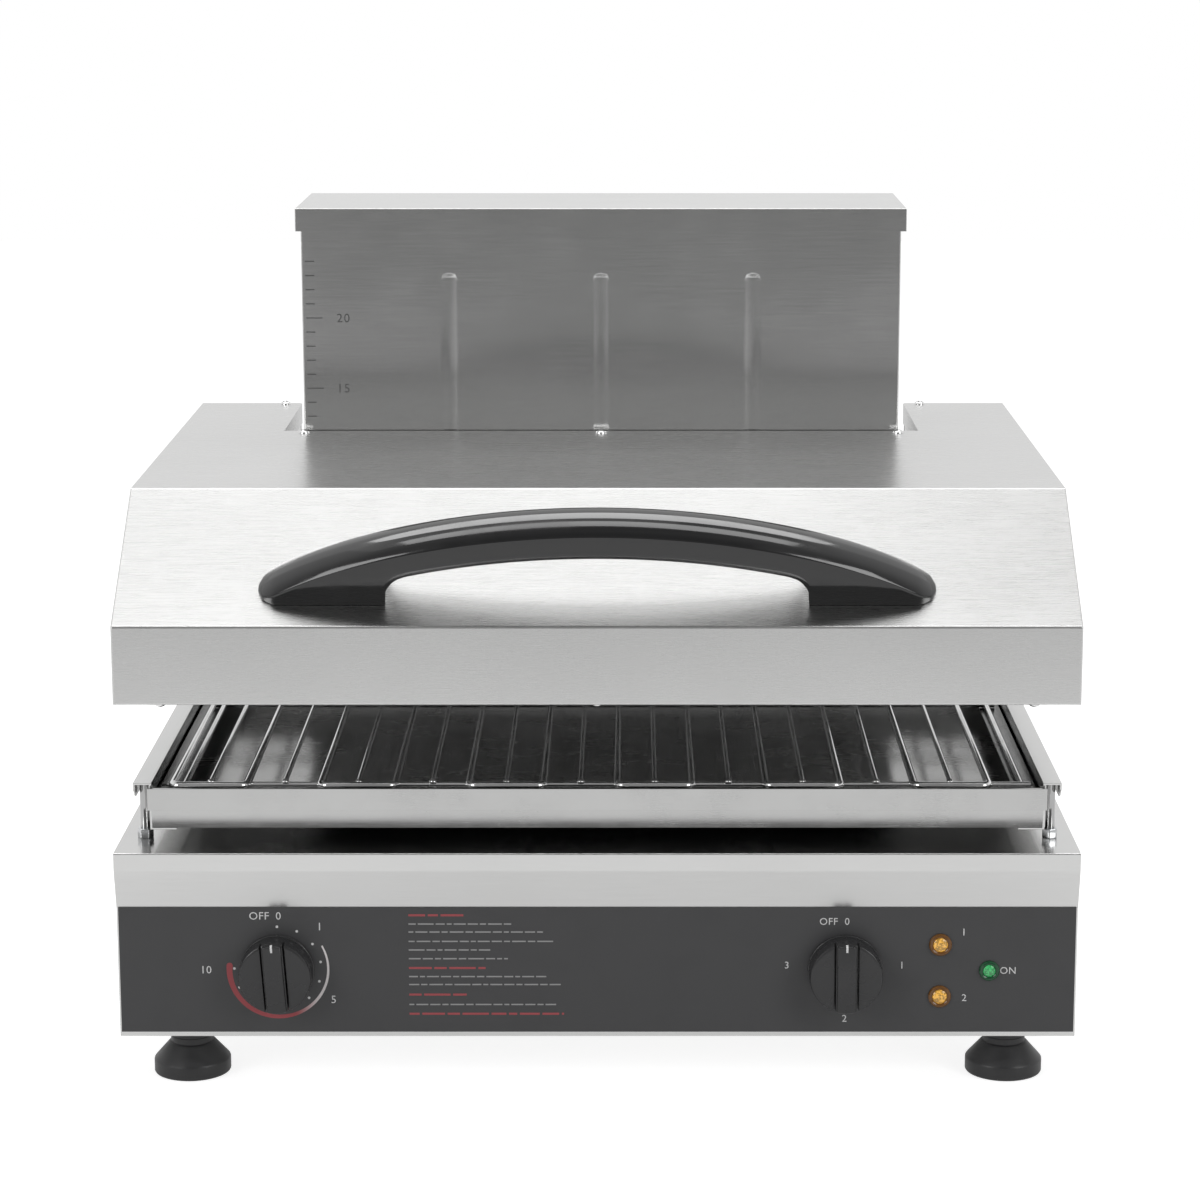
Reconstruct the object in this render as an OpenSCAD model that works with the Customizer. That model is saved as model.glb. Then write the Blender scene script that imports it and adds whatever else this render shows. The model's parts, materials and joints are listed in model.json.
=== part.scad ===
// Lift-type electric cheese melter: a heated hood that slides on a rear tower
// above a wire rack and drip pan. Millimetres, +Z up, front towards -Y.
// The origin is the middle of the floor area, under the feet.

/* [Base] */
// Width of the base and of the hood
body_w = 600; // [560:5:700]
// Depth of the base, from its front strip to its rear wall
base_d = 485; // [460:5:560]
// Height of the base casing
base_h = 121; // [115:1:160]
// Height of the floor gap that the feet leave
foot_h = 30; // [24:1:45]
// Thickness of the stainless sheet
sheet = 1.2; // [0.8:0.1:1.6]
// Height of the upright front strip of the base
strip_h = 11; // [8:1:16]
// Height of the slanted part under the front strip
slant_h = 25.5; // [18:0.5:30]
// Distance that the control panel lies behind the front strip
panel_set = 7; // [4:0.5:9]
// Height of the bright edge under the dark overlay
panel_edge = 3; // [2:0.5:6]
// Thickness of the dark overlay on the control panel
overlay_t = 0.6; // [0.4:0.1:1]
// Distance that the cord's bush stands out at the back
gland_out = 4.8; // [3:0.1:8]

/* [Hood] */
// Depth of the hood, from its front band to its rear edge
hood_d = 473; // [455:5:520]
// Distance that the hood lies behind the front strip of the base
hood_set = 17; // [12:1:25]
// Height of the hood
hood_h = 119; // [112:1:140]
// Height of the upright front band of the hood
band_h = 49.5; // [40:0.5:55]
// Distance that the sloped front of the hood runs back
slope_d = 101; // [90:1:110]
// Height of the hood lip over the base top, as photographed
hood_rest = 90.5; // [86:0.5:100]
// Travel of the hood upwards from there
lift_up = 110; // [60:5:110]
// Travel of the hood downwards from there
lift_down = 45; // [20:5:45]
// Width of the flange turned in round the hood mouth
lip_w = 13.2; // [11:0.1:15]
// Depth of the flanges round the tower notch
notch_flange = 15; // [10:1:20]
// Free gap between the tower sides and the notch
notch_side_gap = 14; // [10:1:18]
// Free gap between the tower front and the notch
notch_front_gap = 2.5; // [1.5:0.5:4]
// Thickness of the sheet that closes the hood at the back
back_t = 1.5; // [1:0.1:2.5]

/* [Tower] */
// Width of the tower
tower_w = 422; // [400:2:440]
// Depth of the tower
tower_d = 120; // [118:1:126]
// Height of the tower over the base, cap included
tower_h = 367; // [360:1:400]
// Distance from the hood front to the tower front
tower_set = 340.5; // [336:0.5:344]
// Height of the cap skirt
cap_h = 16; // [10:1:22]
// Distance that the cap stands out from the tower
cap_over = 3.5; // [3:0.5:6]
// Width of a pressed groove in the tower front
groove_w = 13.3; // [8:0.1:18]
// Depth of a pressed groove
groove_t = 1.3; // [1:0.1:3]
// Distance between the grooves
groove_pitch = 107; // [80:1:120]
// Distance of the groove ends below the cap skirt
groove_drop = 29; // [20:1:40]

/* [Lift] */
// Diameter of the guide rods
rod_dia = 12; // [10:0.5:14]
// Distance from the centre to a guide rod
rod_x = 165; // [150:1:170]
// Distance from the tower front to the guide rods
rod_set = 27.5; // [25:0.5:28]
// Outer diameter of the guide bushes
bush_dia = 18; // [16:0.5:20]
// Length of a guide bush
bush_l = 25; // [15:1:30]
// Running clearance of a shaft in its bore, on the radius
run_gap = 0.05; // [0.02:0.01:0.08]
// Thickness of the carriage plate
carriage_t = 6; // [4:0.5:7]
// Height of the carriage plate
carriage_h = 70; // [60:2:80]
// Height of the ears that carry the hood
ear_h = 50; // [40:2:56]
// Pitch radius of the pulleys
pulley_r = 20; // [16:0.5:20]
// Width of a pulley
pulley_w = 12; // [9:0.5:14]
// Diameter of a pulley axle
axle_dia = 10; // [6:0.5:12]
// Distance from the centre to a pulley
pulley_x = 90; // [60:1:110]
// Diameter of the steel cables
cable_dia = 2.5; // [2:0.1:3]
// Width of the counterweight
weight_w = 300; // [260:2:304]
// Thickness of the counterweight
weight_t = 30; // [20:0.5:32]
// Height of the counterweight
weight_h = 188; // [90:1:192]

/* [Controls] */
// Height of the knob centres over the base floor
control_h = 43.3; // [38:0.1:48]
// Place of the timer knob from the centre
timer_x = -200.5; // [-230:0.5:-160]
// Place of the selector knob from the centre
selector_x = 155; // [120:0.5:170]
// Diameter of a knob
knob_dia = 47; // [36:1:52]
// Distance that a knob stands out from the overlay
knob_h = 20.4; // [16:0.1:24]
// Thickness of a knob's round skirt
skirt_h = 17.5; // [12:0.5:18]
// Width of the grip bar of a knob
grip_w = 13; // [9:0.5:16]
// Diameter of a control spindle
spindle_dia = 6; // [5:0.5:8]
// Turn of the timer knob at rest, degrees
timer_turn = 4; // [0:1:10]
// Width of the square bodies of the timer and the selector
switch_w = 42; // [34:1:50]
// Place of the two amber lamps from the centre
amber_x = 214.5; // [205:0.5:222]
// Half the distance between the amber lamps
amber_gap = 16.9; // [12:0.1:22]
// Place of the green lamp from the centre
green_x = 245.3; // [240:0.1:260]
// Diameter of an amber lens
amber_dia = 14.4; // [10:0.1:18]
// Diameter of the green lens
green_dia = 13; // [10:0.1:16]

/* [Cooking] */
// Distance of a post from the side of the base
post_in = 15; // [14:0.5:17]
// Diameter of the posts
post_dia = 6; // [5:0.5:6]
// Height of the posts over the base
post_h = 37.8; // [34:0.2:38.4]
// Depth of the pan carrier
carrier_d = 310; // [290:5:315]
// Height of the carrier's side walls
carrier_h = 30; // [26:0.5:32]
// Depth of the outer lip of the carrier
carrier_lip = 10; // [6:0.5:14]
// Width of the flange from a carrier wall to its outer lip
carrier_flange = 11.6; // [10:0.1:14]
// Height of the drip pan's front wall
pan_front_h = 25.9; // [22:0.1:27]
// Height of the folded band on that wall
pan_band_h = 13.9; // [8:0.1:18]
// Height of the drip pan's side walls
pan_side_h = 18.5; // [14:0.5:20]
// Width of the pan ledges that carry the rack
pan_ledge = 14; // [8:0.5:20]
// Diameter of the rack's frame wires
frame_wire = 4; // [3:0.1:4.4]
// Diameter of the rack's bars
bar_wire = 3.5; // [2.5:0.1:4]
// Distance between the rack's bars
bar_pitch = 23.3; // [20:0.1:23.4]
// Diameter of the heating tubes
tube_dia = 8; // [6:0.5:9]
// Length of the straight legs of a heating tube
tube_run = 174; // [120:1:176]
// Distance from the hood top to the heating tubes
tube_drop = 53.5; // [50:0.5:60]
// Thickness of the felt over the liner
felt_t = 20; // [10:1:30]

/* [Handle and feet] */
// Length of the handle
handle_l = 424; // [360:4:480]
// Greatest distance of the handle's face from the hood
handle_out = 62; // [45:1:70]
// Thickness of the handle bow
handle_t = 21; // [12:0.5:22]
// Width of the handle bow
handle_w = 28; // [20:0.5:34]
// Length of a handle foot
handle_foot = 81; // [50:1:100]
// Distance of the handle's lower edge from the bend
handle_up = 18; // [10:1:30]
// Distance of the feet from the sides of the base
foot_side = 42; // [30:1:60]
// Distance of the feet from the front and rear of the base
foot_in = 30; // [28:1:45]
// Diameter of a foot's pad
foot_dia = 48.4; // [40:0.2:56]
// Diameter of a foot's screw
screw_dia = 10; // [8:1:12]

/* [Hidden] */
$fn = 48;
eps = 1;                 // overrun of a cut past the face that it opens
seat = 0.3;              // gap between pieces that move apart

// base
half_w = body_w / 2;
knob_lead = knob_h - panel_set + overlay_t;
depth_behind = max(hood_set + hood_d, base_d + gland_out);
front_y = knob_lead - (knob_lead + depth_behind) / 2;
base_rear = front_y + base_d;
base_top = foot_h + base_h;
strip_low = base_top - strip_h;
panel_top = strip_low - slant_h;
panel_y = front_y + panel_set;
overlay_y = panel_y - overlay_t;
control_z = foot_h + control_h;
overlay_side = 1;        // bright edge beside the overlay
slant_in = sheet * 1.03; // sheet of the slanted part, measured level

// hood
hood_y = front_y + hood_set;
hood_rear = hood_y + hood_d;
lip_z = base_top + hood_rest;
bend_z = lip_z + band_h;
hood_top = lip_z + hood_h;
slope_y = hood_y + slope_d;
slope_a = atan2(hood_h - band_h, slope_d);

// tower
tower_y = hood_y + tower_set;
tower_rear = tower_y + tower_d;
tower_half = tower_w / 2;
tower_top = base_top + tower_h;
skirt_z = tower_top - cap_h;
notch_y = tower_y - notch_front_gap;
notch_half = tower_half + notch_side_gap;
groove_top = skirt_z - groove_drop;
groove_low = base_top + 60;

// lift
rod_y = tower_y + rod_set;
rod_low = base_top + 2;
head_z = tower_top - 18;
plate_y = rod_y + 18;
plate_rear = plate_y + carriage_t;
run_y = plate_rear + 8;
pulley_y = run_y + pulley_r;
back_run_y = pulley_y + pulley_r;
pulley_out = pulley_r + 3;
pulley_z = head_z - pulley_out - 7;
ear_mid = lip_z + 58.5;
ear_low = ear_mid - ear_h / 2;
carriage_low = ear_mid - carriage_h / 2;
lug_top = ear_mid + 18;
weight_half = weight_w / 2;
weight_low = foot_h + lift_up + 35;
weight_top = weight_low + weight_h;
eye_h = 12;
guide_gap = 3;           // free play of the counterweight at its edges
guide_half = weight_half + guide_gap;
well_half = guide_half + 3;
well_y = back_run_y - weight_t / 2 - 5;

// cooking
post_x = half_w - post_in;
carrier_y = hood_y + 6;
carrier_rear = carrier_y + carrier_d;
flange_z = base_top + post_h;
carrier_top = flange_z + sheet;
carrier_out = post_x + post_dia / 2 + 0.8 + sheet;
carrier_in = carrier_out - carrier_flange;
carrier_low = carrier_top - carrier_h;
ledge_in = carrier_in - 15.2;
post_front = carrier_y + 15.5;
post_rear = carrier_rear - 15;
pan_low = carrier_low + sheet + seat;
pan_half = carrier_in - 1.4;
pan_rear = carrier_rear - 5;
pan_front = carrier_y - 3;
pan_rack_z = pan_low + pan_side_h;
frame_z = pan_rack_z + seat + frame_wire / 2;
bar_z = frame_z + (frame_wire + bar_wire) / 2 - 0.65;
side_wire_x = pan_half - 9.5;
cross_y = pan_front + 28.5;
loop_y = cross_y - 14.5;
rack_rear = pan_rear - 5;
bar_first = -side_wire_x + 0.5;
bar_count = 2 * round((side_wire_x - bar_first - bar_pitch) / (2 * bar_pitch)) + 1;

// heating
tube_z = hood_top - tube_drop;
ceiling_z = hood_top - 37.5;
liner_y = hood_y + lip_w + 1;
liner_rear = notch_y - lip_w - 1;
liner_half = half_w - lip_w - 1;
liner_gap = 22;          // distance from the sloped front to the liner
tube_front = liner_y + 90;
tube_back = tube_front + tube_run;
tube_end = tube_back + 18;
legs = 6;
tube_in = 28;            // from the middle, and from the liner's side, to a leg
tube_pitch = (liner_half - 2 * tube_in) / (legs - 1);
stub_r = 1.5 * tube_dia;
stub_top = ceiling_z + 15;

// screws: head radius, head height, shank radius, hole radius
head_r = 3.8;
head_h = 2.4;
shank_r = 2;
hole_r = 2.2;
hood_screw_y = notch_y - 10;
hood_screw_x = tower_half - 1;
rear_screw_x = notch_half + 11.8;
rear_screw_y = hood_rear - 6;
lip_screw_y = hood_y + 6.5;
lip_screw_x = half_w - 28.5;

// ---- helpers ----
module block(x0, x1, y0, y1, z0, z1)
    translate([x0, y0, z0]) cube([x1 - x0, y1 - y0, z1 - z0]);
// an outline of [y, z] points drawn out along X
module section(points, x0, x1)
    translate([x0, 0, 0]) rotate([90, 0, 90]) linear_extrude(x1 - x0) polygon(points);
module along_x(r, x0, x1, y, z)
    translate([x0, y, z]) rotate([0, 90, 0]) cylinder(r = r, h = x1 - x0);
module along_y(r, x, y0, y1, z)
    translate([x, y0, z]) rotate([-90, 0, 0]) cylinder(r = r, h = y1 - y0);
module along_z(r, x, y, z0, z1)
    translate([x, y, z0]) cylinder(r = r, h = z1 - z0);
module both_sides() {
    children();
    mirror([1, 0, 0]) children();
}
// a low domed screw head on a shank that points down
module dome_screw(x, y, z, shank) {
    along_z(head_r, x, y, z, z + head_h * 0.55);
    translate([x, y, z + head_h * 0.55]) cylinder(r1 = head_r, r2 = head_r * 0.55, h = head_h * 0.45);
    along_z(shank_r, x, y, z - shank, z + 0.1);
}
module hex_nut(x, y, z, across, bore, h)
    translate([x, y, z]) difference() {
        cylinder(d = across / cos(30), h = h, $fn = 6);
        translate([0, 0, -eps]) cylinder(r = bore, h = h + 2 * eps);
    }

// ---- base ----
module base_tray() color("silver") difference() {
    block(-half_w + sheet, half_w - sheet, panel_y + sheet, base_rear - sheet, foot_h, foot_h + 12);
    block(-half_w + 2 * sheet, half_w - 2 * sheet, panel_y + 2 * sheet, base_rear - 2 * sheet,
        foot_h + sheet, foot_h + 12 + eps);
    for (x = [-foot_x, foot_x], y = [foot_front, foot_back])
        along_z(screw_dia / 2 + run_gap, x, y, foot_h - eps, foot_h + sheet + eps);
    for (i = [-5:5])
        block(i * 30 - 4, i * 30 + 4, -60, 20, foot_h - eps, foot_h + sheet + eps);
}
foot_x = half_w - foot_side;
foot_front = front_y + foot_in;
foot_back = base_rear - foot_in;

gland_x = -half_w + 60;
gland_z = foot_h + 40;
gland_r = 10;
gland_bore = 4.5;
module base_casing() color("silver") {
    side = [[front_y + sheet, base_top - sheet], [front_y + sheet, strip_low],
        [panel_y + slant_in, panel_top], [panel_y + sheet, foot_h],
        [base_rear - sheet, foot_h], [base_rear - sheet, base_top - sheet]];
    both_sides() section(side, half_w - sheet, half_w);
    difference() {
        block(-half_w, half_w, base_rear - sheet, base_rear, foot_h, base_top - sheet);
        along_y(gland_r, gland_x, base_rear - 2 * sheet, base_rear + eps, gland_z);
        for (i = [0:7])
            block(60 + i * 14, 66 + i * 14, base_rear - 2 * sheet, base_rear + eps,
                foot_h + 30, foot_h + 75);
    }
}

module top_plate() color("gainsboro") difference() {
    section([[front_y, base_top], [front_y, strip_low], [panel_y, panel_top],
        [panel_y + slant_in, panel_top], [front_y + sheet, strip_low],
        [front_y + sheet, base_top - sheet], [base_rear, base_top - sheet], [base_rear, base_top]],
        -half_w, half_w);
    block(-well_half, well_half, well_y, tower_rear - sheet, base_top - 2 * sheet, base_top + eps);
    for (x = [-post_x, post_x], y = [post_front, post_rear])
        along_z(post_dia / 2 + 0.2, x, y, base_top - 2 * sheet, base_top + eps);
}

module panel_plate() color("silver") difference() {
    block(-half_w, half_w, panel_y, panel_y + sheet, foot_h, panel_top);
    control_holes(panel_y - eps, panel_y + sheet + eps);
}
module control_holes(y0, y1) {
    for (x = [timer_x, selector_x])
        along_y(spindle_dia / 2 + 1.5, x, y0, y1, control_z);
    for (p = lamps)
        along_y(lamp_r + 0.2, p[0], y0, y1, p[1]);
}
lamps = [[amber_x, control_z + amber_gap], [amber_x, control_z - amber_gap], [green_x, control_z]];
lamp_r = 5.3;
module panel_overlay() color("dimgray") difference() {
    block(-half_w + overlay_side, half_w - overlay_side, overlay_y, panel_y,
        foot_h + panel_edge, panel_top - 0.2);
    control_holes(overlay_y - eps, panel_y + eps);
}

// lens: a rim on the overlay and a domed face
module lens(p, dia) {
    translate([p[0], overlay_y, p[1]]) rotate([90, 0, 0]) {
        cylinder(d = dia, h = 1.2);
        translate([0, 0, 1.2]) cylinder(d1 = dia - 1.2, d2 = dia - 4, h = 1);
    }
}
module lamp_lens_upper() color("orange") lens(lamps[0], amber_dia);
module lamp_lens_lower() color("orange") lens(lamps[1], amber_dia);
module lamp_lens_on() color("limegreen") lens(lamps[2], green_dia);
module lamp_bodies() color("dimgray")
    for (p = lamps) {
        along_y(lamp_r, p[0], overlay_y, panel_y + 30, p[1]);
        along_y(lamp_r + 2.2, p[0], panel_y + sheet, panel_y + sheet + 4, p[1]);
    }

module switch_body(x, depth) difference() {
    union() {
        block(x - switch_w / 2, x + switch_w / 2, panel_y + sheet + 8, panel_y + sheet + 8 + depth,
            control_z - switch_w / 2, control_z + switch_w / 2);
        along_y(11, x, panel_y + sheet, panel_y + sheet + 8.5, control_z);
    }
    along_y(spindle_dia / 2 + run_gap, x, panel_y, panel_y + sheet + 14, control_z);
}
module timer_body() color("tan") switch_body(timer_x, 30);
module selector_body() color("ivory") switch_body(selector_x, 38);

module terminal_block() color("ivory") difference() {
    block(gland_x - 30, gland_x + 30, base_rear - 80, base_rear - 56, foot_h + sheet, foot_h + sheet + 22);
    for (i = [0:4])
        along_z(2.5, gland_x - 24 + i * 12, base_rear - 68, foot_h + sheet + 10, foot_h + sheet + 23);
}
// a low snap-in bush with a flange outside and a lock ring inside
module cable_gland() color("dimgray") difference() {
    union() {
        along_y(gland_r - 0.1, gland_x, base_rear - 11, base_rear + gland_out, gland_z);
        along_y(gland_r + 3, gland_x, base_rear, base_rear + gland_out - 1.6, gland_z);
        along_y(gland_r + 3, gland_x, base_rear - sheet - 3, base_rear - sheet, gland_z);
    }
    along_y(gland_bore, gland_x, base_rear - 12, base_rear + gland_out + eps, gland_z);
}

module foot_nuts() color("darkgray")
    for (x = [-foot_x, foot_x], y = [foot_front, foot_back])
        hex_nut(x, y, foot_h + sheet, screw_dia * 1.7, screw_dia / 2 + run_gap, 9);

// a moulded pad with a neck, on its levelling screw
module foot(x, y) color("black") translate([x, y, 0]) rotate_extrude() polygon([
    [0, 0], [foot_dia / 2 - 1.6, 0], [foot_dia / 2, 2], [foot_dia / 2, 9.5],
    [foot_dia / 2 - 2, 14], [15.5, 17.5], [13.4, 20.5], [13.2, foot_h - seat],
    [screw_dia / 2, foot_h - seat], [screw_dia / 2, foot_h + 18], [screw_dia / 2 - 1, foot_h + 19],
    [0, foot_h + 19]]);
module foot_front_left() foot(-foot_x, foot_front);
module foot_front_right() foot(foot_x, foot_front);
module foot_rear_left() foot(-foot_x, foot_back);
module foot_rear_right() foot(foot_x, foot_back);

// ---- posts, carrier, pan and rack ----
nut_r = 5.2;
nut_h = 6;
module rack_posts() color("silver")
    for (x = [-post_x, post_x], y = [post_front, post_rear])
        along_z(post_dia / 2, x, y, base_top - sheet - 8, flange_z);
module post_nuts() color("gray")
    for (x = [-post_x, post_x], y = [post_front, post_rear]) {
        hex_nut(x, y, base_top, 2 * nut_r * cos(30), post_dia / 2, nut_h);
        hex_nut(x, y, base_top - sheet - 5, 2 * nut_r * cos(30), post_dia / 2, 5);
    }

module pan_carrier() color("silver") {
    both_sides() {
        block(carrier_in, carrier_in + sheet, carrier_y, carrier_rear, carrier_low, carrier_top);
        block(carrier_in, carrier_out, carrier_y, carrier_rear, flange_z, carrier_top);
        // the outer lip starts with a slanted front end
        section([[carrier_y, carrier_top], [carrier_y, flange_z - 3],
            [carrier_y + 6, carrier_top - carrier_lip], [carrier_rear, carrier_top - carrier_lip],
            [carrier_rear, carrier_top]], carrier_out - sheet, carrier_out);
        block(ledge_in, carrier_in + sheet, carrier_y, carrier_rear, carrier_low, carrier_low + sheet);
    }
    block(-carrier_in - sheet, carrier_in + sheet, carrier_rear - sheet, carrier_rear,
        carrier_low, carrier_top);
}

module drip_pan() color("gainsboro") {
    pan_top = pan_low + pan_front_h;
    band_low = pan_top - pan_band_h;
    // floor, side walls and ledges
    block(-pan_half, pan_half, pan_front, pan_rear, pan_low, pan_low + sheet);
    both_sides() {
        block(pan_half - sheet, pan_half, pan_front, pan_rear, pan_low, pan_rack_z);
        block(pan_half - pan_ledge, pan_half, pan_front + 38, pan_rear, pan_rack_z - sheet, pan_rack_z);
    }
    block(-pan_half, pan_half, pan_rear - sheet, pan_rear, pan_low, pan_rack_z);
    // front wall with its folded band
    block(-carrier_in, carrier_in, pan_front, pan_front + sheet, pan_low, pan_top);
    block(-carrier_in - 2.1, carrier_in + 2.1, pan_front - sheet, pan_front + 0.2, band_low, pan_top);
}

function bar_x(i) = bar_first + i * bar_pitch;
// a stretch of wire across two bars, with a rounded corner at each end
module bar_turn(i, y) {
    along_x(bar_wire / 2, bar_x(i), bar_x(i + 2), y, bar_z);
    for (k = [i, i + 2])
        translate([bar_x(k), y, bar_z]) sphere(r = bar_wire * 0.6);
}
module wire_rack() color("whitesmoke") {
    last = bar_count - 1;
    for (x = [bar_first + 6, side_wire_x])
        along_y(frame_wire / 2, x, cross_y + 1, rack_rear - 4, frame_z);
    for (y = [cross_y, rack_rear - 58, rack_rear - 9])
        along_x(frame_wire / 2, -side_wire_x - 4, side_wire_x + 6, y, frame_z);
    // odd bars end on the front wire
    for (i = [1:2:last])
        along_y(bar_wire / 2, bar_x(i), cross_y - 3, rack_rear - 6, bar_z);
    // even bars form one long wire with loops in front and turns behind
    for (i = [0:2:last])
        along_y(bar_wire / 2, bar_x(i), loop_y, rack_rear, bar_z);
    for (i = [0:4:last - 2]) bar_turn(i, loop_y);
    for (i = [2:4:last - 2]) bar_turn(i, rack_rear);
}

// ---- controls ----
module knob(x, turn) translate([x, overlay_y, control_z]) rotate([90, turn, 0]) difference() {
    union() {
        translate([0, 0, 0.5]) cylinder(d = knob_dia, h = skirt_h - 1.5);
        translate([0, 0, skirt_h - 1]) cylinder(d1 = knob_dia, d2 = knob_dia - 3, h = 1);
        intersection() {
            translate([-grip_w / 2, -knob_dia / 2, 1]) cube([grip_w, knob_dia, knob_h - 1]);
            translate([0, 0, 1]) cylinder(d1 = knob_dia, d2 = knob_dia - 2, h = knob_h - 1);
        }
    }
    cylinder(d = spindle_dia, h = knob_h - 4);
}
module spindle(x)
    along_y(spindle_dia / 2, x, overlay_y - knob_h + 4.4, panel_y + sheet + 13.5, control_z);
module timer_knob() color("black") knob(timer_x, -timer_turn);
module timer_spindle() color("silver") spindle(timer_x);
module selector_knob() color("black") knob(selector_x, 0);
module selector_spindle() color("silver") spindle(selector_x);

// ---- tower ----
module groove(x, grow) {
    r = (groove_w * groove_w / 4 + groove_t * groove_t) / (2 * groove_t);
    y = tower_y - r + groove_t;
    translate([x, y, groove_low]) cylinder(r = r + grow, h = groove_top - groove_w / 2 - groove_low);
    translate([x, y, groove_low]) sphere(r = r + grow);
    translate([x, y, groove_top - groove_w / 2]) sphere(r = r + grow);
}
slot_w = carriage_t + 10;
module tower_shell() color("silver") difference() {
    union() {
        difference() {
            block(-tower_half, tower_half, tower_y, tower_rear - sheet, base_top, tower_top - sheet);
            block(-tower_half + sheet, tower_half - sheet, tower_y + sheet, tower_rear,
                base_top - eps, tower_top);
        }
        intersection() {
            for (k = [-1:1]) groove(k * groove_pitch, sheet);
            block(-tower_half, tower_half, tower_y, tower_y + 2 * groove_t + sheet, base_top, tower_top);
        }
    }
    for (k = [-1:1]) groove(k * groove_pitch, 0);
    both_sides() block(tower_half - 2 * sheet, tower_half + eps, plate_y - 5, plate_y - 5 + slot_w,
        ear_low - lift_down - 6, ear_low + ear_h + lift_up + 6);
}
module tower_back() color("silver") difference() {
    block(-tower_half, tower_half, tower_rear - sheet, tower_rear, base_top, tower_top - sheet);
    for (i = [-6:6])
        block(i * 20 - 4, i * 20 + 4, tower_rear - 2 * sheet, tower_rear + eps, skirt_z - 60, skirt_z - 15);
    for (x = [-back_screw_x, back_screw_x], z = back_screw_z)
        along_y(hole_r, x, tower_rear - 2 * sheet, tower_rear + eps, z);
}
back_screw_x = tower_half - 8;
back_screw_z = [base_top + 20, base_top + 160, skirt_z - 12];
module tower_screws() color("gainsboro")
    for (x = [-back_screw_x, back_screw_x], z = back_screw_z)
        translate([x, tower_rear, z]) rotate([-90, 0, 0]) dome_screw(0, 0, 0, 6);
module tower_cap() color("silver") difference() {
    block(-tower_half - cap_over, tower_half + cap_over, tower_y - cap_over, tower_rear + cap_over,
        skirt_z, tower_top);
    block(-tower_half - cap_over + sheet, tower_half + cap_over - sheet, tower_y - cap_over + sheet,
        tower_rear + cap_over - sheet, skirt_z - eps, tower_top - sheet);
}

// ---- lift ----
module rod_foot_bracket() color("darkgray") difference() {
    block(-rod_x - 25, rod_x + 25, rod_y - 15, rod_y + 15, base_top, base_top + 15);
    both_sides() along_z(rod_dia / 2, rod_x, rod_y, rod_low, base_top + 16);
}
module guide_rod(x) color("whitesmoke") along_z(rod_dia / 2, x, rod_y, rod_low, head_z + 4);
module guide_rod_left() guide_rod(-rod_x);
module guide_rod_right() guide_rod(rod_x);

ear_plate = 4;           // thickness of the plates that hold a pulley axle
ear_side = pulley_w / 2 + 3;
module rod_head_bracket() color("darkgray") difference() {
    union() {
        block(-tower_half + sheet, tower_half - sheet, rod_y - 16, back_run_y + 6, head_z, head_z + 4);
        both_sides() along_z(rod_dia / 2 + 6, rod_x, rod_y, head_z - 12, head_z + 0.5);
        both_sides() for (x = [pulley_x - ear_side - ear_plate, pulley_x + ear_side])
            block(x, x + ear_plate, pulley_y - 10, pulley_y + 10, pulley_z - 12, head_z + 0.5);
    }
    both_sides() along_z(rod_dia / 2, rod_x, rod_y, head_z - 13, head_z + 5);
    for (s = [-1, 1])
        along_x(axle_dia / 2, s * pulley_x - 30, s * pulley_x + 30, pulley_y, pulley_z);
}
module pulley_axles() color("gray")
    for (s = [-1, 1])
        along_x(axle_dia / 2, s * pulley_x - ear_side - ear_plate - 1,
            s * pulley_x + ear_side + ear_plate + 1, pulley_y, pulley_z);

groove_floor = pulley_r - cable_dia / 2 - 0.35;
module pulley(x) color("black") translate([x, pulley_y, pulley_z]) rotate([0, 90, 0])
    rotate_extrude() polygon([
        [axle_dia / 2 + run_gap, -pulley_w / 2], [pulley_out, -pulley_w / 2],
        [pulley_out, -cable_dia / 2 - 2], [groove_floor, -cable_dia / 2 - 0.5],
        [groove_floor, cable_dia / 2 + 0.5], [pulley_out, cable_dia / 2 + 2],
        [pulley_out, pulley_w / 2], [axle_dia / 2 + run_gap, pulley_w / 2]]);
module pulley_left() pulley(-pulley_x);
module pulley_right() pulley(pulley_x);

module cable_wraps() color("lightgray")
    for (s = [-1, 1])
        translate([s * pulley_x, pulley_y, pulley_z]) rotate([90, 0, 90])
            rotate_extrude(angle = 180) translate([pulley_r, 0]) circle(d = cable_dia);
module cable_front_runs() color("lightgray")
    for (s = [-1, 1]) along_z(cable_dia / 2, s * pulley_x, run_y, lug_top, pulley_z);
module cable_rear_runs() color("lightgray")
    for (s = [-1, 1]) along_z(cable_dia / 2, s * pulley_x, back_run_y, weight_top + eye_h, pulley_z);

housing = bush_dia / 2 + 6;
module carriage() color("darkgray") difference() {
    union() {
        block(-tower_half + 6, tower_half - 6, plate_y, plate_rear,
            carriage_low, carriage_low + carriage_h);
        both_sides() {
            block(rod_x - housing, rod_x + housing, rod_y - housing, plate_y + 0.1,
                carriage_low, carriage_low + carriage_h);
            block(pulley_x - 7, pulley_x + 7, plate_rear - 0.1, run_y + 5, lug_top - 18, lug_top);
            block(tower_half - 7, notch_half + sheet, plate_y, plate_rear, ear_low, ear_low + ear_h);
            block(notch_half + sheet - 2.5, notch_half + sheet, plate_y - 15, plate_rear + 14,
                ear_low, ear_low + ear_h);
        }
    }
    both_sides() along_z(bush_dia / 2, rod_x, rod_y, carriage_low - eps, carriage_low + carriage_h + eps);
    both_sides() ear_bolt_holes();
}
ear_bolt_y = [plate_y - 8, plate_rear + 7];
module ear_bolt_holes()
    for (y = ear_bolt_y)
        along_x(3.2, notch_half + sheet - 4, notch_half + sheet + back_t + 1, y, ear_mid);
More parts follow.
